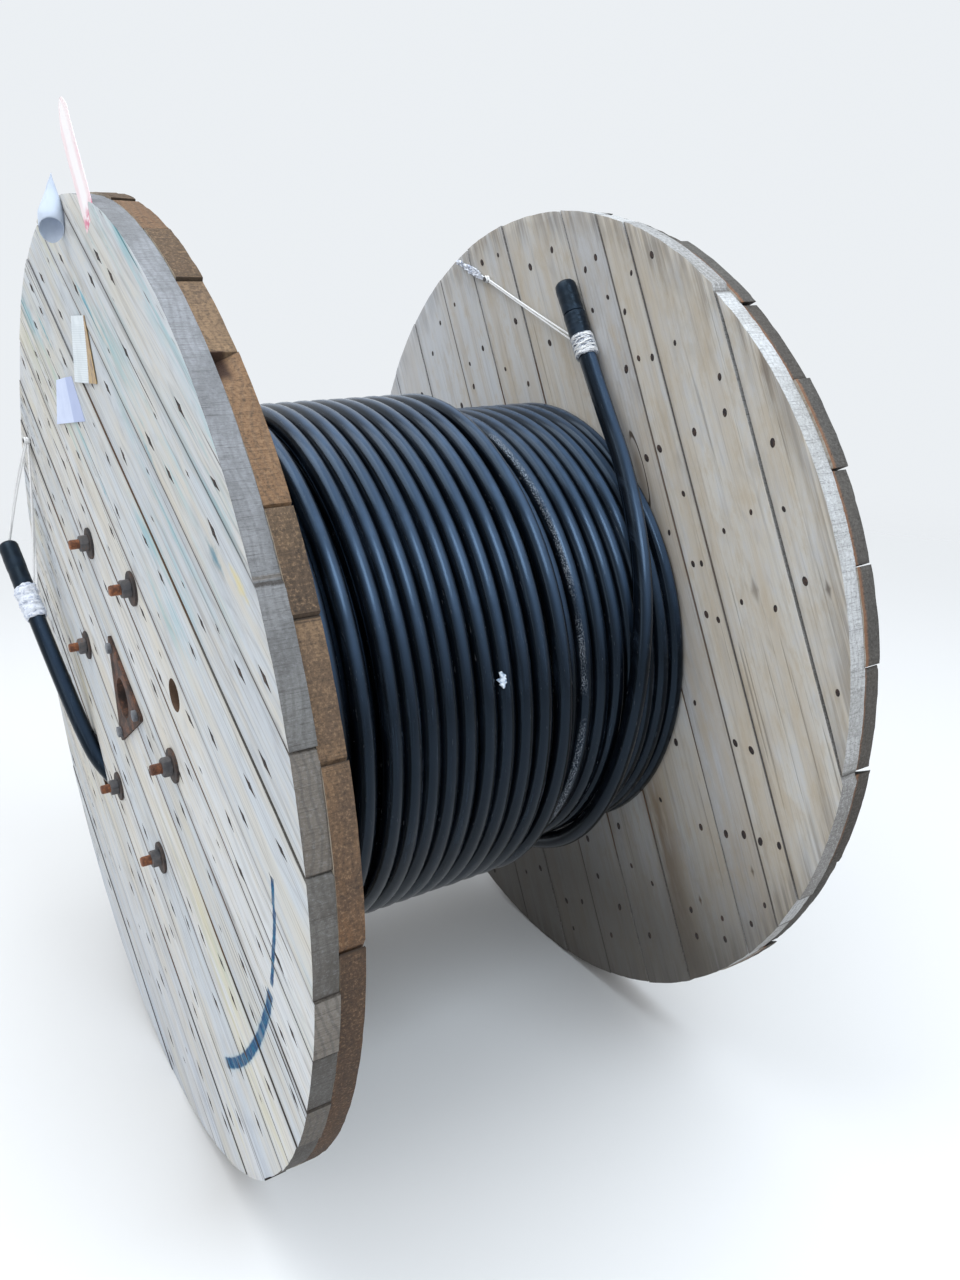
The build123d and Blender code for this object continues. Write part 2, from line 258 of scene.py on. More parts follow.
def black_sheath():
    """Satin black sheath with a painted blue-grey sheen on its upper side, scuffs and dusty specks.
    """
    sheath = Finish(
        "black_sheath", Specular_IOR_Level=0.28, IOR=1.5, Specular_Tint=(0.50, 0.72, 1.0, 1.0)
    )
    x, y, z = sheath.place()
    film = sheath.noise((x, y, z), 7.0, 5.0, 0.6).between(0.45, 0.75)
    wipes = sheath.noise((x * 130, y * 7, z * 7), 1.0, 3.0, 0.6).between(0.50, 0.72)
    scuffs = sheath.noise((x * 380, y * 40, z * 40), 1.0, 3.0, 0.6).between(0.66, 0.74)
    facing_x, facing_y, facing_z = sheath.facing()
    # Painted sheen: surfaces facing upwards along each turn's crest get a blue-grey highlight
    # colour, weaker on the tail outside the near cheek.
    painted_sheen = facing_z.between(0.05, 0.62) * abs(facing_x).between(0.74, 0.06)
    painted_sheen = painted_sheen * (x.between(-0.560, -0.490) * 0.45 + 0.55)
    sway = sheath.noise((x * 0, y, z), 2.2, 2.0) * 0.006
    first_run = abs(x + sway - 0.1640).between(0.0060, 0.0020)
    second_run = abs(x + sway - 0.2040).between(0.0065, 0.0025)
    specks = sheath.noise((x * 800, y * 420, z * 420), 1.0, 2.0, 0.6).between(0.54, 0.62)
    thin = sheath.noise((x * 0, y, z), 6.0, 2.0).between(0.38, 0.50)
    colour = sheath.over(
        (0.0015, 0.0022, 0.0036),
        ((0.0040, 0.0060, 0.0100), film * 0.6),
        # the painted blue-grey highlight on the upward-facing crests
        ((0.052, 0.088, 0.150), painted_sheen * (film * 0.25 + 0.65)),
        ((0.024, 0.036, 0.056), wipes * 0.22),
        ((0.10, 0.10, 0.10), scuffs * 0.30),
        ((0.26, 0.28, 0.31), first_run.most(second_run) * specks * thin),
    )
    sheath.feed("Base Color", colour)
    sheath.feed("Roughness", film * 0.07 + wipes * 0.08 + scuffs * 0.15 + 0.19)
    sheath.bump(sheath.noise((x, y, z), 30.0, 2.0), 0.0005, 0.25)
    return sheath.material


def dress(piece, material, slot, *nodes):
    """Gives a piece its finish and hides the CAD nodes that it stands for."""
    piece.data.materials.clear()
    piece.data.materials.append(material)
    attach(piece, "root")
    if nodes:
        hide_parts(*nodes)


sheath = black_sheath()
dress(inner_end, sheath, "black_sheath", "inner_cable_end")
dress(outer_end, sheath, "black_sheath", "outer_cable_end")

# Cable winding
# About 125 m of the same cable, wound in two layers. The upper layer stops part of the way
# across, and its turns lie unevenly, with gaps through which the lower ones show.
lower_turn_radius = 0.4783
lower_places = [-0.4405 + 0.0383 * turn for turn in range(24)]
upper_places = [-0.440, -0.401, -0.362, -0.318, -0.272, -0.220, -0.184, -0.149, -0.111]
upper_places += [-0.073, -0.034, 0.005, 0.046, 0.087, last_turn_place]
turn_sides = 96
step_over_start, step_over_end = 0.45, 0.65


def wound_layer(places, radius, start, end, dip, seed):
    """Points along one layer: turns that lie straight and step over to the next at the back."""
    points = []
    first, last = round(start * turn_sides), round((len(places) - 1 + end) * turn_sides)
    for step in range(first, last + 1):
        turn = min(max(step // turn_sides, 0), len(places) - 1)
        share = (step / turn_sides - turn - step_over_start) / (step_over_end - step_over_start)
        share = min(max(share, 0), 1)
        share = share * share * (3 - 2 * share)
        following = min(turn + 1, len(places) - 1)
        x = places[turn] * (1 - share) + places[following] * share
        angle = pi - 2 * pi * step / turn_sides
        calm = min(1, (step - first) / 20, (last - step) / 20)
        sway = noise.noise(Vector((step / 23, seed, 0))) * 0.0030 * calm
        lift = noise.noise(Vector((step / 17, seed + 9, 0))) * 0.0012 * calm
        reach = radius + lift - dip * max(0, 1 - (step - first) / 12) ** 2
        points.append(round_axis(x + sway, reach, angle))
    return points


def pick(*pieces):
    """Selects these pieces alone, and makes the first the active one."""
    bpy.ops.object.select_all(action="DESELECT")
    for piece in pieces:
        piece.select_set(True)
    bpy.context.view_layer.objects.active = pieces[0]


def made_mesh(curve):
    """The mesh that a curve's bar makes, in place of the curve."""
    pick(curve)
    bpy.ops.object.convert(target="MESH")
    return bpy.context.object


def wound_tube(name, points, sides, radius=cable_radius):
    """A mesh tube round the given points."""
    tube = made_mesh(curve_through(name, "POLY", points, radius, sides // 4 - 1)[0])
    bpy.ops.object.shade_smooth()
    return tube


lower_start, lower_end = (180 - 282.15) / 360, 0.62
upper_start, upper_end = -0.33, (180 - last_turn_angle) / 360
first_turn_dip = 0.036
lower_way = wound_layer(lower_places, lower_turn_radius, lower_start, lower_end, 0, 3.0)
upper_way = wound_layer(
    upper_places, upper_turn_radius, upper_start, upper_end, first_turn_dip, 7.0
)
lower_layer = wound_tube("lower_turns", lower_way, 12)
upper_layer = wound_tube("upper_turns", upper_way, 20)
for layer in (upper_layer, lower_layer):
    dress(layer, sheath, "black_sheath", "cable_winding")

# Scrap of tape on the winding
# A torn bit of the thin white tape that the cable ends are bound with. It has stuck by itself
# to one of the upper turns.


def modify(piece, kind, **settings):
    """Adds a modifier to a piece and applies it."""
    pick(piece)
    modifier = piece.modifiers.new(kind.lower(), kind)
    for setting, value in settings.items():
        setattr(modifier, setting, value)
    bpy.ops.object.modifier_apply(modifier=modifier.name)


def grid(name, columns, rows):
    """A flat sheet one metre square, to be shaped by its vertices."""
    bpy.ops.object.select_all(action="DESELECT")
    bpy.ops.mesh.primitive_grid_add(
        x_subdivisions=columns, y_subdivisions=rows, size=1, calc_uvs=True
    )
    bpy.context.object.name = name
    return bpy.context.object


scrap_tone = Finish("tape_scrap", Roughness=0.45)
scrap_creases_and_shade = scrap_tone.noise(scrap_tone.place(), 160.0, 3.0)
# painted shade: bluish grey in the creases of the scrap
scrap_colour = scrap_tone.mix((0.66, 0.72, 0.80), (0.30, 0.38, 0.50), scrap_creases_and_shade.between(0.5, 0.4))
scrap_tone.feed("Base Color", scrap_colour)
scrap_tone.bump(scrap_creases_and_shade, 0.001, 0.6)
scrap = grid("tape_scrap", 10, 14)
scrap_turn, scrap_angle = upper_places[11], radians(170.2)
for vertex in scrap.data.vertices:
    side, run = vertex.co.x, vertex.co.y
    torn = noise.noise(Vector((side * 3, run * 4, 5.0)))
    lean = 1.0 + side * 0.62 + torn * 0.40
    stand = cable_radius + 0.0006 + 0.004 * abs(torn)
    angle = scrap_angle + run * 0.060 * (1 - abs(side)) + torn * 0.006
    reach = upper_turn_radius + stand * sin(lean)
    vertex.co = round_axis(scrap_turn - stand * cos(lean), reach, angle)
modify(scrap, "SOLIDIFY", thickness=0.0004, offset=0.0)
bpy.ops.object.shade_smooth()
dress(scrap, scrap_tone.material, "pale_tape")

# Board layers of the cheeks
# Each cheek is two layers of rough softwood boards, nailed across each other and sawn round.
# The near outer face is bleached, the near inner boards show brown end grain at the rim.
cheek_radius = 0.9
board_thickness = 0.037
inside_face, layer_joint, cheek_face = 0.460, 0.497, 0.534
near_outer_turn, near_inner_turn = 30.5, 120.5
far_inner_turn, far_outer_turn = 64.8, 154.8
near_outer_seams = (-785, -655, -520, -395, -272, -130, 5, 120, 240, 345, 505, 630, 760)
near_inner_seams = (-760, -610, -450, -285, -122, 30, 179, 399, 520, 657, 803)
far_inner_seams = (-760, -610, -440, -275, -100, 50, 207, 420, 523, 595, 776)
far_outer_seams = (-750, -597, -414, -244, -71, 98, 270, 450, 622, 790)
near_outer_gaps = (2, 3, 2, 4, 2.5, 2, 3, 2, 5.5, 2, 6.5, 3.5, 2)
near_inner_gaps = (4, 2, 5, 3, 6, 3, 3, 5, 4, 3, 5)
far_inner_gaps = (2, 3, 2.5, 3.5, 2, 5, 2.5, 4.5, 1.6, 1.6, 7.5)
far_outer_gaps = (3, 4, 3, 4, 3, 3, 3, 4, 2, 3)
near_outer_steps = (0, 0, 3, 2, 0, 4, 1, 0, 3, 0, 2, 4, 0, 3)
near_inner_steps = (2, 0, 4, 0, 3, 1, 5, 2, 0, 4, 1, 3)
far_inner_steps = (3, 0, 2, 0, 0, 2, 1, 3, 2, 2, 0, 6)
far_outer_steps = (4, 9, 2, 7, 0, 6, 3, 8, 2, 5, 0)


def round_cutter(start, end, radius):
    """A round bar from one place to another, to cut a hole with."""
    start, end = Vector(start), Vector(end)
    turn = Vector((0, 0, 1)).rotation_difference(end - start).to_euler()
    bpy.ops.object.select_all(action="DESELECT")
    bpy.ops.mesh.primitive_cylinder_add(
        vertices=48, radius=radius, depth=(end - start).length,
        location=(start + end) / 2, rotation=turn,
    )
    return bpy.context.object


def on_board(y, z, turn):
    """How far a place lies along its boards from the axis, and how far across them."""
    height = z - drum_height
    along = y * cos(radians(turn)) + height * sin(radians(turn))
    return along, height * cos(radians(turn)) - y * sin(radians(turn))


def board_layer(name, inner_x, turn, seams, gaps, steps, holes, seed):
    """One layer of a cheek: boards cut from a round, thickened, drilled and worn.

    Seams, gaps and the steps by which boards stop short of the rim are in millimetres."""
    seams = [seam / 1000 for seam in seams]
    halves = [gap / 2000 for gap in gaps]
    edges = [-cheek_radius, *seams, cheek_radius]
    bpy.ops.object.select_all(action="DESELECT")
    bpy.ops.mesh.primitive_circle_add(vertices=288, radius=cheek_radius, fill_type="NGON")
    layer = bpy.context.object
    layer.name = name
    bpy.ops.object.mode_set(mode="EDIT")
    cuts = [(0, seam + side * half) for seam, half in zip(seams, halves) for side in (-1, 1)]
    for low, high in zip(edges, edges[1:]):
        cuts += [(0, low + (high - low) * share) for share in (0.06, 0.35, 0.65, 0.94)]
    cuts += [(1, -0.88 + 0.04 * cut) for cut in range(45)]
    for along, place in cuts:
        bpy.ops.mesh.select_all(action="SELECT")
        point, normal = ((place, 0, 0), (1, 0, 0)) if along else ((0, place, 0), (0, 1, 0))
        bpy.ops.mesh.bisect(plane_co=point, plane_no=normal)
    bpy.ops.mesh.select_all(action="DESELECT")
    bpy.ops.mesh.select_mode(type="FACE")
    bpy.ops.object.mode_set(mode="OBJECT")
    for face in layer.data.polygons:
        face.select = any(abs(face.center.y - seam) < half for seam, half in zip(seams, halves))
    bpy.ops.object.mode_set(mode="EDIT")
    bpy.ops.mesh.delete(type="FACE")
    bpy.ops.mesh.select_mode(type="VERT")
    bpy.ops.mesh.select_all(action="SELECT")
    bpy.ops.mesh.remove_doubles(threshold=0.0013)
    bpy.ops.mesh.delete_loose(use_verts=True, use_edges=True, use_faces=False)
    bpy.ops.object.mode_set(mode="OBJECT")
    for vertex in layer.data.vertices:
        board = sum(vertex.co.y > seam for seam in seams)
        rim_share = max(0, 1 - (cheek_radius - vertex.co.xy.length) / 0.030)
        vertex.co *= 1 - steps[board] / 1000 * rim_share / cheek_radius
    modify(layer, "SOLIDIFY", thickness=board_thickness, offset=1.0)
    lean = radians(turn)
    upright = Matrix(((0, 0, 1), (cos(lean), -sin(lean), 0), (sin(lean), cos(lean), 0)))
    layer.data.transform(Matrix.Translation((inner_x, 0, drum_height)) @ upright.to_4x4())
    for start, end, radius in holes:
        cutter = round_cutter(start, end, radius)
        modify(layer, "BOOLEAN", operation="DIFFERENCE", object=cutter, solver="FAST")
        bpy.data.objects.remove(cutter)
    modify(
        layer, "BEVEL", width=0.0022, segments=2, limit_method="ANGLE", angle_limit=radians(50)
    )
    wear_boards(layer, turn, seams, seed)
    bpy.ops.object.shade_smooth_by_angle(angle=radians(35))
    return layer


def wear_boards(layer, turn, seams, seed):
    """Sets each board a little differently, waves its faces and frays its sawn ends."""
    chance = random.Random(seed)
    sets = [(chance.uniform(-0.0012, 0.0012), chance.random()) for _ in range(len(seams) + 1)]
    worn_rim, under_cable = cheek_radius - 0.012, 0.43
    tones, distances = [], []
    for vertex in layer.data.vertices:
        y, z = vertex.co.y, vertex.co.z - drum_height
        along, over = on_board(y, vertex.co.z, turn)
        board = sum(over > seam for seam in seams)
        reach = hypot(y, z)
        wave = noise.noise(Vector((along * 3, over * 11, seed))) * 0.0008
        fray = abs(noise.noise(Vector((y * 40, z * 40, vertex.co.x * 30 + seed)))) * 0.0026
        if 0.06 < reach < worn_rim:
            vertex.co.x += wave
        if reach > worn_rim:
            vertex.co.y *= 1 - fray / reach
            vertex.co.z = drum_height + z * (1 - fray / reach)
        if reach > under_cable:
            vertex.co.x += sets[board][0] * min(1, (reach - under_cable) / 0.1)
        tones.append(sets[board][1])
        distances.append(min(abs(over - seam) for seam in seams))
    for name, values in (("board", tones), ("edge", distances)):
        layer.data.attributes.new(name, "FLOAT", "POINT").data.foreach_set("value", values)


def wood(name, turn, pale, cool, warm, dark, rim, low_rim, **extra):
    """Rough sawn softwood, its grain along each board, with sawn ends at the rim.

    rim and low_rim are each a fresh and a worn tone, for the top and the foot of the drum."""
    finish = Finish(name, Specular_IOR_Level=0.25)
    x, y, z = finish.place()
    z = z - drum_height
    board, edge = (
        finish.node("ShaderNodeAttribute", {"attribute_name": told}, {}, output=2)
        for told in ("board", "edge")
    )
    along = y * cos(radians(turn)) + z * sin(radians(turn))
    over = z * cos(radians(turn)) - y * sin(radians(turn))
    own = board * 17.3

    def drawn(lengthways, crossways, deep, detail, rough):
        """Noise drawn out along the boards, different on each."""
        place = (along * lengthways + own, over * crossways + own, deep)
        return finish.noise(place, 1.0, detail, rough)

    swirl = drawn(0.9, 7, x * 5, 3.0, 0.5)
    grain = (swirl * 95 + over * 150).sine()
    bands = drawn(0.7, 22, x * 20, 3.0, 0.6)
    streaks = drawn(1.4, 75, x * 60, 4.0, 0.65)
    hairs = drawn(2.0, 210, x * 150, 3.0, 0.7)
    fibres = finish.noise((along * 9 + own, over * 520, x * 400), 1.0, 3.0, 0.65)
    blotch = drawn(2.4, 6, x, 4.0, 0.6)
    smudge = drawn(5, 9, x, 5.0, 0.65)
    mottle = drawn(11, 30, x, 5.0, 0.72)
    dashes = drawn(11, 150, x * 60, 2.0, 0.6)
    dash_patch = drawn(1.2, 5, 3.0, 2.0, 0.55)
    crack_run = drawn(1.7, 120, x * 4, 2.0, 0.5)
    cracks = crack_run.between(0.655, 0.695) * dash_patch.between(0.42, 0.58)
    cracks = cracks * extra.get("cracks", 0.85)
    specks = dashes.between(0.66, 0.72) * dash_patch.between(0.46, 0.62)
    specks = specks * extra.get("specks", 0.8)
    knot_place = finish.at(along * 1.3 + own, over * 4.2 + own, x * 0)
    knot_far = finish.node("ShaderNodeTexVoronoi", {}, {"Vector": knot_place, "Scale": 1.0})
    knots = (knot_far + streaks * 0.02).between(0.062, 0.040)
    halo = (knot_far + bands * 0.08).between(0.22, 0.07)
    chipped = (edge + hairs * 0.004 - 0.0035).between(0.0022, 0.0)
    seam_grime = (edge + bands * 0.012).between(0.020, 0.006)
    strength, mottled = extra.get("strength", 1.0), extra.get("mottle", 0.25)
    colour = finish.over(
        pale,
        (cool, board.between(0.75, 0.30) * 0.6),
        (dark, (board * 29).sine().between(0.0, 1.0) * extra.get("uneven", 0.13)),
        (dark, smudge.between(0.50, 0.78) * 0.38),
        (warm, mottle.between(0.50, 0.64) * mottled),
        (cool, mottle.between(0.50, 0.38) * mottled),
        (warm, bands.between(0.44, 0.66) * 0.45),
        (warm, blotch.between(0.48, 0.70) * 0.45),
        (dark, grain.between(0.55, 1.0) * streaks.between(0.35, 0.6) * 0.30 * strength),
        (dark, streaks.between(0.52, 0.70) * 0.42 * strength),
        (dark, hairs.between(0.54, 0.68) * 0.50 * strength),
        (dark, fibres.between(0.45, 0.75) * 0.25 * strength),
        (warm, halo * 0.55),
        ((0.095, 0.055, 0.032), knots * 0.8),
        ((0.055, 0.042, 0.042), specks),
        ((0.040, 0.030, 0.030), cracks),
        ((0.060, 0.045, 0.035), chipped * 0.75),
        (dark, seam_grime * extra.get("grime", 0.35)),
    )
    if "marks" in extra:
        colour = extra["marks"](finish, colour, x, y, z, along, over, streaks)
    round_rim = z.maths("ARCTAN2", z, y)
    saw_lines = finish.noise((round_rim * 420, x * 14 + own, own), 1.0, 3.0, 0.7)
    wire = finish.noise((round_rim * 900, x * 60, own), 1.0, 4.0, 0.75)
    grit = finish.noise((x, y, z), 230.0, 4.0, 0.75)
    arcs = (swirl * 40 + x * 520 + (round_rim * 31).sine() * 2.6 + own).sine()
    damp = finish.noise((round_rim * 7 + own, x * 12, own), 1.0, 4.0, 0.65)
    height = (z + damp * 0.30).between(*extra.get("rim_rise", (-0.25, 0.75)))
    fresh, worn = (finish.mix(low, high, height) for low, high in zip(low_rim, rim))
    coarse = extra.get("coarse", 1.0)
    sawn = finish.over(
        fresh,
        (worn, damp.between(0.36, 0.64)),
        (extra.get("rim_warm", rim[0]), (board * 23).sine().between(0.1, 1.0) * 0.55),
        ((0.040, 0.028, 0.020),
         (board * 41).sine().between(0.0, 1.0) * extra.get("rim_uneven", 0.40)),
        (worn, arcs.between(0.1, 0.9) * 0.45),
        ((0.028, 0.022, 0.018), saw_lines.between(0.46, 0.78) * 0.55),
        ((0.022, 0.018, 0.014), grit.between(0.48, 0.70) * 0.62 * coarse),
        ((0.040, 0.036, 0.032), wire.between(0.50, 0.74) * 0.50),
        (tuple(1.35 * part for part in rim[0]), grit.between(0.47, 0.36) * 0.40 * coarse),
        ((0.022, 0.016, 0.012), (edge + grit * 0.005).between(0.0056, 0.0030) * 0.85),
    )
    if "rim_marks" in extra:
        sawn = extra["rim_marks"](finish, sawn, x, along, over, grit)
    in_holes = (y * y + z * z).root().between(0.62, 0.56)
    sawn = finish.mix(sawn, (0.115, 0.062, 0.034), in_holes * 0.85)
    on_rim = (abs(finish.facing()[0]) + grit * 0.2).between(0.92, 0.62)
    finish.feed("Base Color", finish.mix(colour, sawn, on_rim))
    finish.feed("Roughness", fibres * 0.25 + 0.68)
    face_height = fibres * 0.35 + hairs * 0.5 + streaks * 0.6 - cracks * 2.0 - specks * 1.2
    rim_height = saw_lines * 0.8 + grit * 1.2
    finish.bump(face_height * (1 - on_rim) + rim_height * on_rim, 0.0016, 0.7)
    return finish.material


def near_face_marks(finish, colour, x, y, z, along, over, streaks):
    """Faded smears of paint, and the arc that shows which way the drum is rolled."""
    outer_face = x.between(0.0040 - cheek_face, 0.0022 - cheek_face)
    brush = finish.noise((y * 55, z * 55, 0.0), 1.0, 3.0, 0.7)
    run = finish.noise((along * 3.0, over * 36, 4.0), 1.0, 4.0, 0.7)
    teal_patch = finish.noise((along * 1.3, over * 3.4, 1.5), 1.0, 2.0).between(0.50, 0.68)
    teal = teal_patch * run.between(0.47, 0.64) * over.between(-0.30, 0.20)
    mould = finish.noise((along * 20, over * 150, 9.0), 1.0, 2.0, 0.6).between(0.585, 0.65)
    mould_patch = finish.noise((along * 2.2, over * 6, 11.0), 1.0, 2.0).between(0.42, 0.55)
    yellow_patch = finish.noise((along * 1.6, over * 4.4, 7.5), 1.0, 2.0).between(0.52, 0.70)
    colour = finish.over(
        colour,
        ((0.13, 0.40, 0.46), teal * outer_face * 0.55),
        ((0.045, 0.040, 0.050), mould * mould_patch * y.between(0.42, 0.66) * outer_face * 0.85),
        ((0.42, 0.50, 0.66), z.between(-0.30, -0.80) * outer_face * 0.20),
        ((0.64, 0.55, 0.27), yellow_patch * run.between(0.42, 0.60) * outer_face * 0.40),
    )
    for place_along, place_over, long, wide, paint in (
        (-0.440, 0.720, 0.075, 0.020, (0.66, 0.56, 0.26)),
        (-0.352, 0.690, 0.060, 0.028, (0.03, 0.17, 0.24)),
        (-0.070, 0.637, 0.090, 0.014, (0.04, 0.26, 0.38)),
        (0.300, 0.671, 0.130, 0.012, (0.06, 0.34, 0.46)),
        (0.167, 0.379, 0.070, 0.012, (0.05, 0.28, 0.40)),
        (0.607, 0.426, 0.120, 0.011, (0.05, 0.28, 0.38)),
        (0.376, -0.256, 0.026, 0.044, (0.02, 0.12, 0.26)),
    ):
        away = abs(along - place_along) / long + abs(over - place_over) / wide + brush * 0.9
        dab = away.between(1.25, 0.55) * run.between(0.36, 0.52) * outer_face * 0.7
        colour = finish.mix(colour, paint, dab)
    reach, round_about = (y * y + z * z).root(), z.maths("ARCTAN2", z, y)
    off_line = abs(reach - 0.700 + (round_about + 2.262) * 0.083) + brush * 0.007
    thin_part = round_about.between(-3.16, -3.13) * round_about.between(-2.862, -2.872)
    wide_part = round_about.between(-2.846, -2.836) * round_about.between(-2.24, -2.28)
    stroke = off_line.between(0.0108, 0.0076) * thin_part
    stroke = stroke + off_line.between(0.0155, 0.0112) * wide_part
    blue = finish.mix((0.002, 0.045, 0.135), (0.005, 0.105, 0.205), brush.between(0.42, 0.62))
    worn_through = run.between(0.44, 0.64) * 0.30
    return finish.over(
        colour,
        ((0.26, 0.43, 0.52), off_line.between(0.022, 0.011) * wide_part * outer_face * 0.4),
        (blue, stroke * outer_face * (1 - worn_through)),
    )


def far_face_marks(finish, colour, x, y, z, along, over, streaks):
    """Brown stains that water has drawn along one board, grey ones at the rim, and painted shade on
    the lower inner face.
    """
    inner_face = x.between(inside_face + 0.0025, inside_face + 0.0010)
    wander = finish.noise((along * 5, over * 22, 2.0), 1.0, 3.0, 0.65)
    streak = abs(over - 0.262 + wander * 0.05).between(0.060, 0.005)
    stain = streak * along.between(-0.34, -0.50) * wander.between(0.25, 0.55)
    weather = finish.noise((along * 4, over * 16, 6.0), 1.0, 4.0, 0.65)
    grey_rim = ((y * y + z * z).root() + weather * 0.16).between(0.90, 0.985)
    knot_along, knot_over = along - 0.211, over - 0.462
    ring = (knot_along * knot_along / 0.0064 + knot_over * knot_over / 0.00022).root()
    bark = abs(ring - 1.0 + wander * 0.10).between(0.13, 0.05) * over.between(0.452, 0.462)
    colour = finish.over(
        colour,
        ((0.20, 0.125, 0.06), stain * inner_face * 0.75),
        ((0.17, 0.155, 0.14), grey_rim * streaks.between(0.35, 0.6) * inner_face * 0.6),
        # painted shade: the inner face darkens towards its foot
        ((0.092, 0.085, 0.076), z.between(-0.12, -0.68) * inner_face * 0.88),
        ((0.17, 0.155, 0.14), z.between(0.35, 0.85) * inner_face * 0.16),
        ((0.60, 0.64, 0.71), y.between(0.25, 0.70) * z.between(-0.3, 0.1) * inner_face * 0.35),
        ((0.23, 0.165, 0.105), ring.between(1.1, 0.2) * inner_face * 0.5),
        ((0.050, 0.032, 0.020), bark * inner_face * 0.9),
    )
    for place_along, place_over, long, wide, share in (
        (-0.123, 0.851, 0.030, 0.012, 0.7),
        (-0.621, 0.493, 0.024, 0.010, 0.8),
        (-0.090, 0.687, 0.050, 0.018, 0.5),
        (0.271, 0.840, 0.110, 0.020, 0.6),
        (-0.689, 0.309, 0.022, 0.010, 0.9),
    ):
        away = abs(along - place_along) / long + abs(over - place_over) / wide + wander * 0.8
        spot = away.between(1.15, 0.45) * inner_face * share
        colour = finish.mix(colour, (0.075, 0.050, 0.032), spot)
    return colour


def near_rim_marks(finish, sawn, x, along, over, grit):
    """A corner broken out of the rim beside one seam, dark and torn."""
    broken = (over + grit * 0.010).between(0.232, 0.212) * over.between(0.172, 0.176)
    broken = broken * (x + grit * 0.008).between(-0.470, -0.480) * along.between(0.80, 0.82)
    return finish.mix(sawn, (0.030, 0.014, 0.010), broken * 0.9)


def far_rim_marks(finish, sawn, x, along, over, grit):
    """Fresh orange-brown wood along the arris where the outer boards stand past the inner."""
    arris = (x + grit * 0.010).between(layer_joint + 0.015, layer_joint + 0.007)
    return finish.mix(sawn, (0.26, 0.115, 0.050), arris * 0.55)


bush_hole = ((-0.6, 0, drum_height), (0.6, 0, drum_height), 0.045)
drive_reach, drive_turn = 0.389, radians(161)
drive_hole = (
    round_axis(-0.6, drive_reach, drive_turn), round_axis(-0.45, drive_reach, drive_turn), 0.028
)
exit_start, exit_turn = Vector(near_way[1]), Vector(near_way[2])
exit_end = exit_turn + (Vector(near_way[3]) - exit_turn).normalized() * 0.09
exit_holes = [
    (exit_start, exit_turn + (exit_turn - exit_start) * 0.3, 0.027),
    (exit_turn - (exit_turn - exit_start) * 0.1, exit_end, 0.027),
]
near_holes = [bush_hole, drive_hole] + exit_holes
bleached = wood(
    "bleached_boards", near_outer_turn,
    (0.62, 0.63, 0.64), (0.54, 0.59, 0.64), (0.60, 0.54, 0.43), (0.17, 0.165, 0.175),
    ((0.27, 0.28, 0.30), (0.175, 0.18, 0.19)), ((0.150, 0.146, 0.138), (0.086, 0.080, 0.073)),
    strength=0.75, cracks=1.0, coarse=0.35, marks=near_face_marks, rim_rise=(0.22, 0.85),
    rim_warm=(0.25, 0.215, 0.180),
)
brown = wood(
    "brown_boards", near_inner_turn,
    (0.38, 0.33, 0.26), (0.34, 0.31, 0.27), (0.30, 0.21, 0.13), (0.12, 0.09, 0.065),
    ((0.225, 0.148, 0.087), (0.125, 0.083, 0.054)), ((0.120, 0.058, 0.028), (0.056, 0.031, 0.021)),
    rim_marks=near_rim_marks, rim_warm=(0.19, 0.098, 0.048), rim_uneven=0.62,
)
cream = wood(
    "cream_boards", far_inner_turn,
    (0.565, 0.545, 0.505), (0.53, 0.555, 0.595), (0.47, 0.395, 0.295), (0.19, 0.165, 0.145),
    ((0.52, 0.53, 0.54), (0.40, 0.40, 0.395)), ((0.36, 0.35, 0.34), (0.24, 0.23, 0.215)),
    strength=0.45, specks=0.10, cracks=0.35, grime=0.16, coarse=0.6, marks=far_face_marks,
    uneven=0.22, mottle=0.45,
)
grey = wood(
    "grey_boards", far_outer_turn,
    (0.36, 0.33, 0.29), (0.34, 0.33, 0.31), (0.27, 0.21, 0.15), (0.12, 0.10, 0.08),
    ((0.110, 0.103, 0.094), (0.076, 0.071, 0.066)), ((0.076, 0.066, 0.057), (0.050, 0.044, 0.039)),
    rim_marks=far_rim_marks,
)
near_outer = board_layer(
    "near_outer_boards", -cheek_face, near_outer_turn, near_outer_seams, near_outer_gaps,
    near_outer_steps, near_holes, 11,
)
near_inner = board_layer(
    "near_inner_boards", -layer_joint, near_inner_turn, near_inner_seams, near_inner_gaps,
    near_inner_steps, near_holes, 12,
)
broken_low, broken_high, broken_depth = 0.179, 0.236, 0.024
for vertex in near_inner.data.vertices:
    y, z = vertex.co.y, vertex.co.z - drum_height
    along, over = on_board(y, vertex.co.z, near_inner_turn)
    if along > 0.8 and broken_low < over < broken_high and vertex.co.x < -0.488:
        share = (over - broken_low) / (broken_high - broken_low)
        torn = 1 - broken_depth * (1 - share) / hypot(y, z)
        vertex.co.y, vertex.co.z = y * torn, drum_height + z * torn
far_inner = board_layer(
    "far_inner_boards", inside_face, far_inner_turn, far_inner_seams, far_inner_gaps,
    far_inner_steps, [bush_hole], 13,
)
far_outer = board_layer(
    "far_outer_boards", layer_joint, far_outer_turn, far_outer_seams, far_outer_gaps,
    far_outer_steps, [bush_hole], 14,
)
dress(near_outer, bleached, "bleached_boards", "near_cheek_outer_boards")
dress(near_inner, brown, "brown_boards", "near_cheek_inner_boards")
dress(far_inner, cream, "cream_boards", "far_cheek_inner_boards")
dress(far_outer, grey, "grey_boards", "far_cheek_outer_boards")

# Nails in the boards
# Two nails hold each crossing of the boards. On the inside of the far cheek they are round dark
# heads; on the bleached near face they have sunk, and the grain has split beside them.


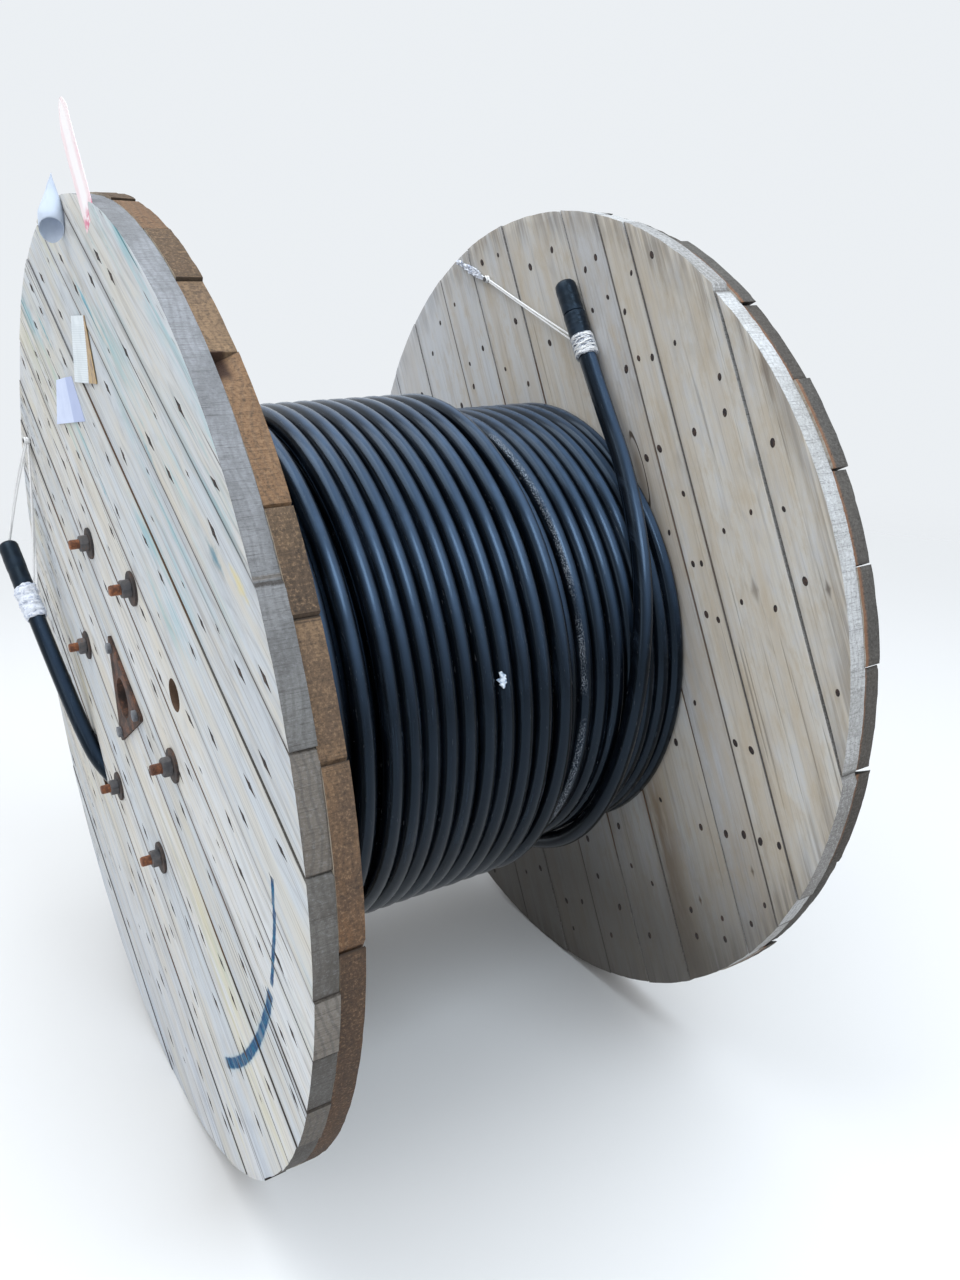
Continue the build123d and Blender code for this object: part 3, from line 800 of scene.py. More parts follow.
def raised(name, sides, steps):
    """A piece built up from a flat outline, each step being the next radius and height."""
    bpy.ops.object.select_all(action="DESELECT")
    radius, height = steps[0]
    bpy.ops.mesh.primitive_circle_add(
        vertices=sides, radius=radius, fill_type="NGON", location=(0, 0, height)
    )
    piece = bpy.context.object
    piece.name = name
    bpy.ops.object.transform_apply(location=True)
    bpy.ops.object.mode_set(mode="EDIT")
    bpy.ops.mesh.select_all(action="SELECT")
    for next_radius, next_height in steps[1:]:
        rise = (0, 0, next_height - height)
        bpy.ops.mesh.extrude_region_move(TRANSFORM_OT_translate={"value": rise})
        bpy.ops.transform.resize(value=(next_radius / radius, next_radius / radius, 1))
        radius, height = next_radius, next_height
    bpy.ops.mesh.select_all(action="SELECT")
    bpy.ops.mesh.normals_make_consistent(inside=False)
    bpy.ops.object.mode_set(mode="OBJECT")
    return piece


def joined(*pieces):
    """The pieces made one, which keeps the first one's name."""
    pick(*pieces)
    bpy.ops.object.join()
    return pieces[0]


def spread(piece, places):
    """Copies of a piece at each of the places, joined into one mesh."""
    copies = [added(piece.name, piece.data.copy()) for _ in places]
    for copy, place in zip(copies, places):
        copy.data.transform(place)
    bpy.data.objects.remove(piece)
    return joined(*copies)


def facing(place, out, spin=0.0):
    """Puts a piece that is built upwards at a place, its top turned to -X or +X."""
    turn = Matrix.Rotation(out * pi / 2, 4, "Y") @ Matrix.Rotation(spin, 4, "Z")
    return Matrix.Translation(place) @ turn


def nail_places(layer, turn, seams, cross_seams, side, seed):
    """Where the nails of every crossing meet a layer's outer skin, with their size and lean."""
    chance = random.Random(seed)
    points = [vertex.co.copy() for vertex in layer.data.vertices]
    skin = BVHTree.FromPolygons(points, [tuple(face.vertices) for face in layer.data.polygons])
    boards, crossings = (
        list(zip((-900, *lines), (*lines, 900))) for lines in (seams, cross_seams)
    )
    places = []
    for (low, high), (left, right_side), share in product(boards, crossings, (0.27, 0.73)):
        if chance.random() < 0.12:
            continue
        over = (low + (high - low) * share + chance.uniform(-9, 9)) / 1000
        across_it = share if chance.random() < 0.5 else 1 - share
        along = (left + (right_side - left) * across_it + chance.uniform(-22, 22)) / 1000
        if not 0.14 < hypot(along, over) < 0.868:
            continue
        y = along * cos(radians(turn)) - over * sin(radians(turn))
        z = drum_height + along * sin(radians(turn)) + over * cos(radians(turn))
        hit = skin.ray_cast(Vector((side * 2, y, z)), Vector((-side, 0, 0)))[0]
        if hit is not None and abs(abs(hit.x) - 0.5) < 0.06:
            places.append((hit, chance.uniform(0.8, 1.3), chance.uniform(-0.12, 0.12)))
    return places


def nail_rust():
    """Nail heads gone nearly black, with a little brown rust."""
    rust = Finish("nail_rust", Roughness=0.8)
    patches = rust.noise(rust.place(), 160.0, 3.0).between(0.45, 0.65)
    rust.feed("Base Color", rust.mix((0.020, 0.015, 0.016), (0.060, 0.036, 0.028), patches))
    return rust.material


rust_black = nail_rust()
head = raised(
    "far_nails", 10, [(0.0046, -0.002), (0.0048, 0.0002), (0.0036, 0.0007), (0.0012, 0.0008)]
)
for vertex in head.data.vertices:
    vertex.co.y *= 1.5
far_places = [
    facing(hit, -1, lean * 3 - radians(far_inner_turn)) @ Matrix.Scale(size, 4)
    for hit, size, lean in nail_places(
        far_inner, far_inner_turn, far_inner_seams, far_outer_seams, -1, 31
    )
    if hypot(hit.y, hit.z - drum_height) > 0.50
]
far_nails = spread(head, far_places)
split_radius = 0.0042
split = raised("near_nails", 12, [(0.0040, -0.002), (split_radius, 0.0001), (0.0026, 0.0005)])
for vertex in split.data.vertices:
    share = abs(vertex.co.y) / split_radius
    vertex.co.y *= 1 + 3.0 * share
    vertex.co.x *= 0.90 - 0.60 * min(1, share)
near_places = []
for hit, size, lean in nail_places(
    near_outer, near_outer_turn, near_outer_seams, near_inner_seams, -1, 32
):
    size *= 1.18
    if size < 1.06:
        size *= 0.60
    near_places.append(facing(hit, -1, lean - radians(near_outer_turn)) @ Matrix.Scale(size, 4))
near_nails = spread(split, near_places)
back_head = raised(
    "back_nails", 10, [(0.0036, -0.002), (0.0038, 0.0002), (0.0030, 0.0007), (0.0012, 0.0009)]
)
back_places = [
    facing(hit, 1) @ Matrix.Scale(size, 4)
    for hit, size, lean in nail_places(
        far_outer, far_outer_turn, far_outer_seams, far_inner_seams, 1, 33
    )
]
back_nails = spread(back_head, back_places)
dress(far_nails, rust_black, "rusty_rods", "far_cheek_inner_boards")
dress(near_nails, rust_black, "rusty_rods", "near_cheek_outer_boards")
dress(back_nails, rust_black, "rusty_rods", "far_cheek_outer_boards")

# Barrel staves
# Planed softwood staves under the winding, dry and dusty, laid edge to edge between the cheeks;
# only seen if the cable is taken off.
stave_wood = Finish("stave_wood", Roughness=0.8)
x, y, z = stave_wood.place()
stave_grain = stave_wood.noise((x * 6, y * 90, z * 90), 1.0, 4.0, 0.6)
stave_colour = stave_wood.mix(
    (0.50, 0.38, 0.25), (0.30, 0.21, 0.13), stave_grain.between(0.35, 0.7)
)
stave_wood.feed("Base Color", stave_colour)
stave_wood.bump(stave_grain, 0.0008)
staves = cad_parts["barrel_staves"].data.materials
staves.clear()
staves.append(stave_wood.material)

# Tie rods, washers and nuts
# Six threaded rods clamp the two cheeks on the barrel. Each ends in a square-cut stud with a
# plain washer and a hexagon nut, all left bare and rusted by the weather.
rod_circle, first_rod = 0.313, 3.5
rod_end, tip_length, stud_radius, core_radius, thread_pitch = 0.574, 0.039, 0.010, 0.0088, 0.0025
washer_radius, washer_thickness = 0.031, 0.005
nut_corner, nut_height = 0.030 / (3 ** 0.5), 0.016


def rusted(name, dark, brown, orange, share, metal=0.35):
    """Bare steel under old rust, from nearly black to orange where it flakes."""
    rust = Finish(name, Metallic=metal)
    place = rust.place()
    broad = rust.noise(place, 38.0, 4.0, 0.6)
    fine = rust.noise(place, 260.0, 4.0, 0.7)
    flakes = (broad * 0.5 + fine * 0.5).between(0.60 - share * 0.2, 0.72 - share * 0.2)
    colour = rust.over(dark, (brown, broad.between(0.36, 0.62)), (orange, flakes * 0.8))
    rust.feed("Base Color", colour)
    rust.feed("Roughness", fine * 0.25 + 0.62)
    rust.bump(fine * 0.7 + broad, 0.0009, 0.7)
    return rust.material


thread_mesh = bpy.data.meshes.new("tie_rods")
crest = stud_radius - 0.0002
thread_mesh.from_pydata(
    [(core_radius, 0, 0), (crest, 0, thread_pitch * 0.44), (crest, 0, thread_pitch * 0.56),
     (core_radius, 0, thread_pitch)],
    [(0, 1), (1, 2), (2, 3)],
    [],
)
thread = added("tie_rods", thread_mesh)
modify(
    thread, "SCREW", angle=2 * pi, screw_offset=thread_pitch, iterations=14, steps=24,
    render_steps=24, use_merge_vertices=True,
)
tip = raised("tip", 24, [(0.0091, 0.0), (0.0091, 0.0372), (0.0080, 0.0387), (0.0068, tip_length)])
thread = joined(thread, tip)
shaft = raised("shaft", 24, [(0.0091, -0.536), (0.0091, 0.536)])
nut = raised("tie_nuts", 6, [(nut_corner, 0), (nut_corner, nut_height)])
chamfer = 0.0026
nut_round = raised(
    "nut_round", 48,
    [(0.0149, -0.0001), (0.0176, chamfer), (0.0176, nut_height - chamfer),
     (0.0149, nut_height + 0.0001)],
)
modify(nut, "BOOLEAN", operation="INTERSECT", object=nut_round, solver="EXACT")
bpy.data.objects.remove(nut_round)
modify(nut, "BEVEL", width=0.0005, segments=2, limit_method="ANGLE", angle_limit=radians(25))
washer = raised(
    "tie_washers", 40,
    [(0.0300, 0), (washer_radius, 0.0007), (washer_radius, 0.0042), (0.0301, washer_thickness),
     (0.0170, washer_thickness - 0.0002)],
)
chance = random.Random(5)
ends, shafts, nuts, washers = [], [], [], []
for rod in range(6):
    middle = round_axis(0, rod_circle, radians(first_rod + 60 * rod))
    shafts.append(facing(middle, 1))
    for side in (-1, 1):
        out = Vector((side, 0, 0))
        ends.append(facing(middle + out * (rod_end - tip_length), side, chance.uniform(0, 6)))
        on_washer = middle + out * (cheek_face + washer_thickness)
        nuts.append(facing(on_washer, side, chance.uniform(0, 1)))
        slip = Vector((0, chance.uniform(-0.0015, 0.0015), chance.uniform(-0.002, 0)))
        washers.append(facing(middle + out * cheek_face + slip, side, chance.uniform(0, 1)))
ends_piece, shafts_piece = spread(thread, ends), spread(shaft, shafts)
rods = joined(ends_piece, shafts_piece)
rods.name = "threaded_rods"
nuts_piece = spread(nut, nuts)
nuts_piece.name = "hexagon_nuts"
washers_piece = spread(washer, washers)
washers_piece.name = "plain_washers"
stud_rust = rusted(
    "stud_rust", (0.085, 0.036, 0.022), (0.21, 0.080, 0.038), (0.40, 0.15, 0.050), 0.50, 0.1
)
nut_rust = rusted(
    "nut_rust", (0.075, 0.076, 0.084), (0.135, 0.128, 0.128), (0.20, 0.095, 0.050), 0.30, 0.3
)
washer_rust = rusted(
    "washer_rust", (0.034, 0.032, 0.034), (0.075, 0.052, 0.044), (0.18, 0.085, 0.045), 0.25
)
for piece, node, material, slot in (
    (rods, "tie_rods", stud_rust, "rusty_rods"),
    (nuts_piece, "tie_nuts", nut_rust, "rust_brown_steel"),
    (washers_piece, "tie_washers", washer_rust, "rust_brown_steel"),
):
    pick(piece)
    bpy.ops.object.shade_smooth_by_angle(angle=radians(30))
    dress(piece, material, slot, node)

# Bush plates and their bolts
# A triangle of plate with a tube through it lines the axle hole of each cheek. It is burnt out
# and welded by hand, rusted brown, and held by three zinc-grey hexagon bolts.
plate_rust = rusted(
    "plate_rust", (0.030, 0.020, 0.017), (0.090, 0.048, 0.034), (0.21, 0.090, 0.048), 0.45
)
zinc = rusted(
    "zinc_grey", (0.16, 0.17, 0.19), (0.24, 0.25, 0.27), (0.20, 0.12, 0.08), 0.2, 0.6
)
for node, name, material, slot, arris in (
    ("near_bush_plate", "near_bush", plate_rust, "rust_brown_steel", 0.0012),
    ("far_bush_plate", "far_bush", plate_rust, "rust_brown_steel", 0.0012),
    ("bush_plate_bolts", "plate_bolts", zinc, "grey_zinc", 0.0009),
):
    piece = added(name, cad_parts[node].data.copy())
    pick(piece)
    bpy.ops.object.mode_set(mode="EDIT")
    bpy.ops.mesh.select_all(action="SELECT")
    bpy.ops.mesh.remove_doubles(threshold=0.00001)
    bpy.ops.mesh.dissolve_limited(angle_limit=radians(1))
    bpy.ops.object.mode_set(mode="OBJECT")
    modify(
        piece, "BEVEL", width=arris, segments=2, limit_method="ANGLE", angle_limit=radians(40)
    )
    bpy.ops.object.shade_smooth_by_angle(angle=radians(35))
    dress(piece, material, slot, node)

# Heat-shrink caps
# A black polymer cap is shrunk over each cable end. The near one is wrinkled where it grips
# the sheath, the far one has a second, wider sleeve round its lower half.


def line_of(cord):
    """The points of a cord's own smooth line, from its start to its tip."""
    bare = cord.copy()
    bare.data = cord.data.copy()
    bare.data.bevel_depth = 0
    line = bpy.data.meshes.new_from_object(bare)
    points = [vertex.co.copy() for vertex in line.vertices]
    bpy.data.meshes.remove(line)
    bpy.data.objects.remove(bare)
    return points


def back_from_tip(points, distance):
    """The place at a distance back from a line's tip, or ahead of it if less than nothing."""
    if distance <= 0:
        return points[-1] + (points[-1] - points[-2]).normalized() * -distance
    for after, before in zip(points[::-1], points[-2::-1]):
        step = (before - after).length
        if distance <= step:
            return after.lerp(before, distance / step)
        distance -= step
    return points[0]


def round_the_cord(name, cord, profile, sides, crumple, grain, seed):
    """A sleeve on a cord, by its radius at each distance back from the tip, then crumpled."""
    line = line_of(cord)
    places = [back_from_tip(line, distance) for distance, radius in profile]
    bar, spline = curve_through(name, "POLY", places, 1.0, sides // 4 - 1, caps=False)
    for control, (distance, radius) in zip(spline.points, profile):
        control.radius = radius
    sleeve = made_mesh(bar)
    bpy.ops.object.mode_set(mode="EDIT")
    bpy.ops.mesh.select_all(action="SELECT")
    bpy.ops.mesh.remove_doubles(threshold=0.00002)
    bpy.ops.mesh.normals_make_consistent(inside=False)
    bpy.ops.object.mode_set(mode="OBJECT")
    shifts = []
    for vertex in sleeve.data.vertices:
        fold = noise.noise(vertex.co * grain + Vector((seed, 0, 0)))
        crease = 1 - abs(noise.noise(vertex.co * grain * 1.9 + Vector((0, seed, 0)))) * 2
        shifts.append(vertex.normal * crumple * (fold * 0.8 + max(0, crease) * 0.6))
    for vertex, shift in zip(sleeve.data.vertices, shifts):
        vertex.co += shift
    bpy.ops.object.shade_smooth()
    return sleeve


def black_cap():
    """Heat-shrunk black polymer: satin, with fine wrinkles and a little dust."""
    cap = Finish(
        "black_cap", IOR=1.5, Specular_IOR_Level=0.26, Specular_Tint=(0.50, 0.74, 1.0, 1.0)
    )
    x, y, z = cap.place()
    dust = cap.noise((x, y, z), 30.0, 4.0).between(0.45, 0.75)
    wrinkles = cap.noise((x * 60, y * 60, z * 220), 1.0, 3.0)
    cap.feed("Base Color", cap.mix((0.0040, 0.0060, 0.0095), (0.0095, 0.0155, 0.0260), dust))
    cap.feed("Roughness", dust * 0.2 + 0.33)
    cap.bump(wrinkles, 0.0008, 0.4)
    return cap.material


cap_radius = 0.0222
near_profile = [(0.1250, 0.0196), (0.1246, 0.0212)]
for ring in range(26):
    grip = max(0, 1 - ring / 16) * 0.0011
    near_profile.append((0.124 - 0.0023 * ring, cap_radius - 0.0005 + grip * (ring % 2)))
near_profile += [(0.060 - 0.006 * ring, cap_radius + 0.0002) for ring in range(10)]
near_profile += [(-0.001, cap_radius), (-0.005, 0.0212), (-0.0085, 0.0182), (-0.0110, 0.0125)]
near_profile += [(-0.0119, 0.0060), (-0.0120, 0.00005)]
far_profile = [(0.1200, 0.0196), (0.1196, 0.0216), (0.1180, 0.0232)]
far_profile += [(0.116 - 0.0035 * ring, 0.0233 - 0.0004 * (ring % 3 == 2)) for ring in range(14)]
far_profile += [(0.0668, 0.0235), (0.0661, 0.0234), (0.0657, 0.0198), (0.0632, 0.0198)]
far_profile += [(0.0628, 0.0219), (0.0622, 0.0222), (0.0600, 0.0222)]
far_profile += [(0.056 - 0.0052 * ring, 0.0223 + 0.0004 * (ring % 4 == 1)) for ring in range(11)]
far_profile += [(-0.001, 0.0221), (-0.0045, 0.0212), (-0.0080, 0.0186), (-0.0105, 0.0142)]
far_profile += [(-0.0117, 0.0080), (-0.0120, 0.00005)]
near_cap = round_the_cord("near_cap", inner_end, near_profile, 32, 0.0005, 60, 2.0)
far_cap = round_the_cord("far_cap", outer_end, far_profile, 32, 0.0005, 60, 5.0)
cap_black = black_cap()
dress(near_cap, cap_black, "black_cap", "inner_cable_cap")
dress(far_cap, cap_black, "black_cap", "outer_cable_cap")

# Tape on the near end and string wrap on the far end
# Thin white plastic tape, crumpled round the near cable below its cap; on the far one, white
# string wound on and on over a scrap of the same tape.
white_tape = Finish("pale_tape", IOR=1.45)
x, y, z = white_tape.place()
tape_folds_and_shade = white_tape.noise((x * 90, y * 90, z * 150), 1.0, 4.0, 0.65, 0.8)
grime = white_tape.noise((x, y, z), 45.0, 4.0).between(0.5, 0.8)
tape_colour = white_tape.over(
    (0.74, 0.78, 0.86),
    # painted shade: bluish grey in the hollows of the folds
    ((0.36, 0.41, 0.54), tape_folds_and_shade.between(0.52, 0.36)),
    ((0.42, 0.40, 0.38), grime * 0.5),
)
white_tape.feed("Base Color", tape_colour)
white_tape.feed("Roughness", tape_folds_and_shade * 0.3 + 0.25)
white_tape.bump(tape_folds_and_shade, 0.003, 0.9)
tape_profile = [(0.2000, 0.0194), (0.1995, 0.0210), (0.196, 0.0224), (0.191, 0.0214)]
tape_profile += [(0.186, 0.0230), (0.181, 0.0236), (0.1765, 0.0222), (0.172, 0.0210)]
tape_profile += [(0.168, 0.0226), (0.163, 0.0218), (0.158, 0.0236), (0.153, 0.0229)]
tape_profile += [(0.148, 0.0214), (0.144, 0.0212), (0.140, 0.0226), (0.135, 0.0240)]
tape_profile += [(0.130, 0.0244), (0.125, 0.0240), (0.121, 0.0236), (0.1175, 0.0232)]
tape_profile += [(0.1172, 0.0216)]
fine_tape_profile = []
for (far_away, wide), (near_by, narrow) in zip(tape_profile, tape_profile[1:]):
    fine_tape_profile += [(far_away, wide), ((far_away + near_by) / 2, (wide + narrow) / 2)]
near_tape = round_the_cord("near_tape", inner_end, fine_tape_profile, 56, 0.0046, 80, 8.0)
wrap_profile = [(0.1630, 0.0194), (0.1626, 0.0216)]
wrap_profile += [(0.161 - 0.0018 * ring, 0.0222 + 0.0007 * sin(ring * 1.9)) for ring in range(24)]
wrap_profile += [(0.1184, 0.0236), (0.1180, 0.0222)]
far_wrap = round_the_cord("far_wrap", outer_end, wrap_profile, 40, 0.0026, 120, 3.0)
string_net = Finish("string_net", Roughness=0.7)
x, y, z = string_net.place()
gaps = string_net.noise((x * 190, y * 190, z * 420), 1.0, 4.0, 0.7, 1.2)
net_colour = string_net.mix(
    (0.78, 0.81, 0.86), (0.035, 0.055, 0.10), gaps.between(0.43, 0.53) * 0.9
)
string_net.feed("Base Color", net_colour)
string_net.bump(gaps, -0.002, 0.8)
dress(near_tape, white_tape.material, "pale_tape", "inner_tape_wrap")
dress(far_wrap, string_net.material, "pale_tape", "outer_string_wrap")

# Tie nails, knots and strings
# White polypropylene string ties each cable end to a nail in the cheek: doubled and doubled
# again on the near side, and carried on to the rim on the far side.
nail_reach = 0.8
near_nail = round_axis(-cheek_face, nail_reach, radians(31.7))
far_nail = round_axis(inside_face, nail_reach, radians(72.8))
nail = raised(
    "tie_nail_pair", 16,
    [(0.0024, -0.012), (0.0025, 0.0138), (0.0050, 0.0142), (0.0055, 0.0148), (0.0054, 0.0156),
     (0.0042, 0.0160)],
)
tie_nails = spread(nail, [facing(near_nail, -1), facing(far_nail, -1)])
dress(tie_nails, nut_rust, "rusty_rods", "tie_nails")
white_string = Finish("white_string", Roughness=0.85)
lint = white_string.noise(white_string.place(), 700.0, 2.0)
string_colour = white_string.mix((0.66, 0.67, 0.68), (0.84, 0.84, 0.84), lint.between(0.35, 0.6))
white_string.feed("Base Color", string_colour)
white_string.bump(lint, 0.0005, 0.6)


def length_of(line):
    return sum((after - before).length for before, after in zip(line, line[1:]))


def twisted_string(name, way, radius):
    """Three plies laid round each other along a smooth line, and that line's points."""
    guide = cord_curve("guide", way, radius, 24)
    line = line_of(guide)
    bpy.data.objects.remove(guide)
    length, lay = length_of(line), radius * 7
    steps = max(8, int(length / 0.0013))
    plies = []
    for ply in (0, 2 * pi / 3, 4 * pi / 3):
        places = []
        for step in range(steps):
            distance = length * step / (steps - 1)
            place = back_from_tip(line, length - distance)
            nearby = back_from_tip(line, length - distance - 0.001)
            way_on = (nearby - place).normalized()
            side = way_on.cross(Vector((1, 0.3, 0.2))).normalized()
            angle = ply + 2 * pi * distance / lay
            offset = side * cos(angle) + way_on.cross(side) * sin(angle)
            places.append(place + offset * radius * 0.46)
        plies.append(made_mesh(curve_through(name, "POLY", places, radius * 0.50, 1)[0]))
    string = joined(*reversed(plies))
    bpy.ops.object.shade_smooth()
    string.name = name
    return string, line


near_way_out = (Vector(near_way[-1]) - Vector(near_way[-2])).normalized()
cap_top = Vector(near_way[-1]) + near_way_out * 0.0125
tape_place = back_from_tip(line_of(inner_end), 0.150)
wrap_place = back_from_tip(line_of(outer_end), 0.141)
near_radius, far_radius, loose_radius = 0.0026, 0.0024, 0.0029
strings = []
for number, (start_depth, sideways, end) in enumerate((
    (0.0105, -0.004, cap_top + Vector((0.006, 0.004, 0.0))),
    (0.0125, 0.004, cap_top + Vector((0.004, -0.006, 0.002))),
    (0.0065, -0.005, tape_place + Vector((0.014, 0.012, 0.013))),
    (0.0045, 0.005, tape_place + Vector((0.019, -0.002, 0.010))),
)):
    start = near_nail + Vector((-start_depth, sideways, -0.0085))
    bow = Vector((-0.004 if number < 2 else 0.002, 0.006 * (1 if number % 2 else -1), 0))
    way = [start, start.lerp(end, 0.3) + bow, start.lerp(end, 0.7) + bow * 0.8, end]
    string, line = twisted_string(f"near_string_{number + 1}", way, near_radius)
    strings.append((string, line, "inner_tie_strings"))
towards_wrap = (wrap_place - far_nail).normalized()
start = far_nail + Vector((-0.007, 0, 0)) + towards_wrap * 0.009
end = wrap_place - towards_wrap * 0.023
for number, spread_out in enumerate((-0.0026, 0.0026)):
    beside = Vector((0, spread_out, spread_out * 1.2))
    middle = start.lerp(end, 0.5) + beside * 0.9 - Vector((0, 0, 0.003))
    way = [start + beside, middle, end + beside * 2.0]
    string, line = twisted_string(f"far_string_{number + 1}", way, far_radius)
    strings.append((string, line, "outer_tie_strings"))
rim_end = round_axis(0.453, 0.886, radians(65.6))
towards_rim = (rim_end - far_nail).normalized()
start = far_nail + Vector((-0.007, 0, 0)) + towards_rim * 0.009
beyond = start.lerp(rim_end, 0.35) + Vector((0, 0.004, 0.002))
way = [start, beyond, start.lerp(rim_end, 0.7), rim_end]
string, line = twisted_string("far_string_end", way, loose_radius)
strings.append((string, line, "outer_tie_strings"))
ribbon = grid("far_string_ribbon", 48, 10)
# The vector noise that crumples the ribbon and the knots has to be seeded to stay the same.
noise.seed_set(5)
ribbon_line, ribbon_length = line, length_of(line)
way_on = (ribbon_line[-1] - ribbon_line[0]).normalized()
across_it = way_on.cross(Vector((1, 0, 0))).normalized()
for vertex in ribbon.data.vertices:
    run, beside = vertex.co.x + 0.5, vertex.co.y
    middle = back_from_tip(ribbon_line, ribbon_length * (1 - run))
    swell = 0.006 + 0.014 * sin(pi * min(1, run * 1.25)) ** 0.7 if run < 0.8 else 0.012
    crumple = noise.noise_vector(Vector((run * 9, beside * 5, 3.0)))
    place = middle + across_it * (beside * swell + crumple.x * 0.0022) + way_on * crumple.y * 0.002
    place.x = min(middle.x - 0.0016 - abs(crumple.z) * 0.010, inside_face - 0.0016)
    vertex.co = place
modify(ribbon, "SOLIDIFY", thickness=0.0005, offset=0.0)
bpy.ops.object.shade_smooth()
dress(ribbon, white_tape.material, "white_string", "outer_tie_strings")
cord_line = line_of(outer_end)
coil_steps, coil_turns, coil_middle, coil_half = 800, 15, 0.1405, 0.0195
coil = []
for step in range(coil_steps + 1):
    share = step / coil_steps
    back = coil_middle + coil_half * sin(share * pi * 9 + 0.6) + 0.0016 * sin(share * 61)
    middle = back_from_tip(cord_line, back)
    way_on = (back_from_tip(cord_line, back - 0.004) - middle).normalized()
    side = way_on.cross(Vector((1, 0.2, 0))).normalized()
    angle = share * 2 * pi * coil_turns
    lift = 0.0238 + 0.0014 * noise.noise(Vector((share * 40, 2.0, 0)))
    coil.append(middle + (side * cos(angle) + way_on.cross(side) * sin(angle)) * lift)
windings = wound_tube("far_wrap_string", coil, 8, 0.0008)
dress(windings, white_string.material, "white_string", "outer_string_wrap")
for string, line, node in strings:
    dress(string, white_string.material, "white_string", node)
    length_of(line)
loops = []
for place, seed in ((near_nail, 1), (far_nail, 4)):
    for loop in range(5):
        bpy.ops.object.select_all(action="DESELECT")
        lean = radians(12 * noise.noise(Vector((loop * 3.1, seed, 0))))
        bpy.ops.mesh.primitive_torus_add(
            major_segments=28, minor_segments=8, major_radius=0.0052 + 0.0010 * (loop % 2),
            minor_radius=0.0023, location=place - Vector((0.0038 + 0.0019 * loop, 0, 0)),
            rotation=(lean, radians(90 + 16 * (loop % 3 - 1)), 0),
        )
        loops.append(bpy.context.object)
pick(*loops)
bpy.ops.object.transform_apply(location=True, rotation=True, scale=True)
knots = joined(*loops)
knots.name = "knots"
for vertex in knots.data.vertices:
    vertex.co += noise.noise_vector(vertex.co * 260) * 0.0007
bpy.ops.object.shade_smooth()
dress(knots, white_string.material, "white_string", "string_knots")

# Papers on the near cheek
# Blank papers left from the yard: a pale strip standing up over the rim, a sheet that has
# curled into a cone, a ribbed clear pouch with a brown card in it, and a folded sheet below.
cheek_top = 1.8


def sheet_on_face(name, corners, columns, rows, depth, thickness, width=lambda down: 1):
    """A sheet between four corners on the near face, lifted off it by depth(across, down).

    A corner is given in millimetres, along +Y and up from the top of the cheek."""
    sheet = grid(name, columns, rows)
    corners = [Vector((0, y, z + cheek_top * 1000)) / 1000 for y, z in corners]
    top_left, top_right, low_right, low_left = corners
    for vertex in sheet.data.vertices:
        across, down = vertex.co.x + 0.5, 0.5 - vertex.co.y
        across = 0.5 + (across - 0.5) * width(down)
        place = top_left.lerp(top_right, across).lerp(low_left.lerp(low_right, across), down)
        place.x = -cheek_face - 0.0004 - depth(across, down)
        vertex.co = place
    bpy.ops.object.mode_set(mode="EDIT")
    bpy.ops.mesh.select_all(action="SELECT")
    bpy.ops.mesh.normals_make_consistent(inside=False)
    bpy.ops.object.mode_set(mode="OBJECT")
    modify(sheet, "SOLIDIFY", thickness=thickness, offset=0.0)
    bpy.ops.object.shade_smooth_by_angle(angle=radians(40))
    return sheet


def paper(name, lit, dull, **constants):
    """Thin paper or film, with its own across and up places for what shows on it."""
    finish = Finish(name, **constants)
    across, upward, _ = finish.parts(finish.node("ShaderNodeTexCoord", {}, {}, "UV"))
    soft = finish.noise(finish.place(), 22.0, 4.0, 0.6)
    finish.bump(soft, 0.002, 0.35)
    return finish, across, upward, finish.mix(lit, dull, soft.between(0.4, 0.7))


strip_paper, across, upward, colour = paper(
    "marker_strip", (0.84, 0.74, 0.75), (0.82, 0.64, 0.67), Roughness=0.5
)
stained = strip_paper.noise((across * 5, upward * 14, 0.0), 1.0, 3.0).between(0.35, 0.55)
strip_colour = strip_paper.over(
    colour,
    ((0.88, 0.84, 0.85), abs(across - 0.5).between(0.34, 0.16)),
    ((0.62, 0.16, 0.26), upward.between(0.16, 0.04) * stained),
)
strip_paper.feed("Base Color", strip_colour)
strip = sheet_on_face(
    "pale_strip", ((-58, 107), (-120, 143), (-226, -40), (-164, -72)), 8, 40,
    lambda across, down: 0.0010 + 0.0006 * sin(down * 5), 0.0007,
    lambda down: min(1, 0.12 + (down * 5) ** 0.6),
)
pouch_film, across, upward, colour = paper(
    "clear_pouch", (0.70, 0.76, 0.80), (0.56, 0.62, 0.66), Roughness=0.28
)
ribs = (upward * 190).sine() * 0.5 + 0.5
card = (across - 0.93 + (1 - upward) * 0.22).between(-0.012, 0.012)
fibre = pouch_film.noise((across * 26, upward * 5, 0.0), 1.0, 3.0)
brown_card = pouch_film.mix((0.42, 0.27, 0.085), (0.16, 0.075, 0.04), fibre.between(0.45, 0.62))
pouch_colour = pouch_film.over(
    colour, ((0.44, 0.50, 0.54), ribs * upward.between(0.92, 0.80) * 0.5), (brown_card, card)
)
pouch_film.feed("Base Color", pouch_colour)


def pouch_depth(across, down):
    """A pouch that fills out towards its foot, and stands in fine ribs."""
    swell = 0.0022 * sin(across * pi) * (0.3 + 0.7 * down)
    return 0.0012 + swell + 0.0003 * (round(down * 40) % 2)


pouch = sheet_on_face(
    "ribbed_pouch", ((32, -195), (-72, -193), (-103, -302), (73, -310)), 16, 40,
    pouch_depth, 0.0008,
)
fold_paper, across, upward, colour = paper(
    "folded_paper", (0.60, 0.67, 0.86), (0.55, 0.62, 0.82), Roughness=0.6
)
fold_shade = across.between(0.66, 0.70) * 0.7
fold_paper.feed("Base Color", fold_paper.mix(colour, (0.34, 0.40, 0.62), fold_shade))


def fold_depth(across, down):
    """A sheet creased two thirds of the way across, and raised along its crease."""
    return 0.0010 + 0.0026 * max(0, 1 - abs(across - 0.66) / (0.5 if across < 0.66 else 0.12))


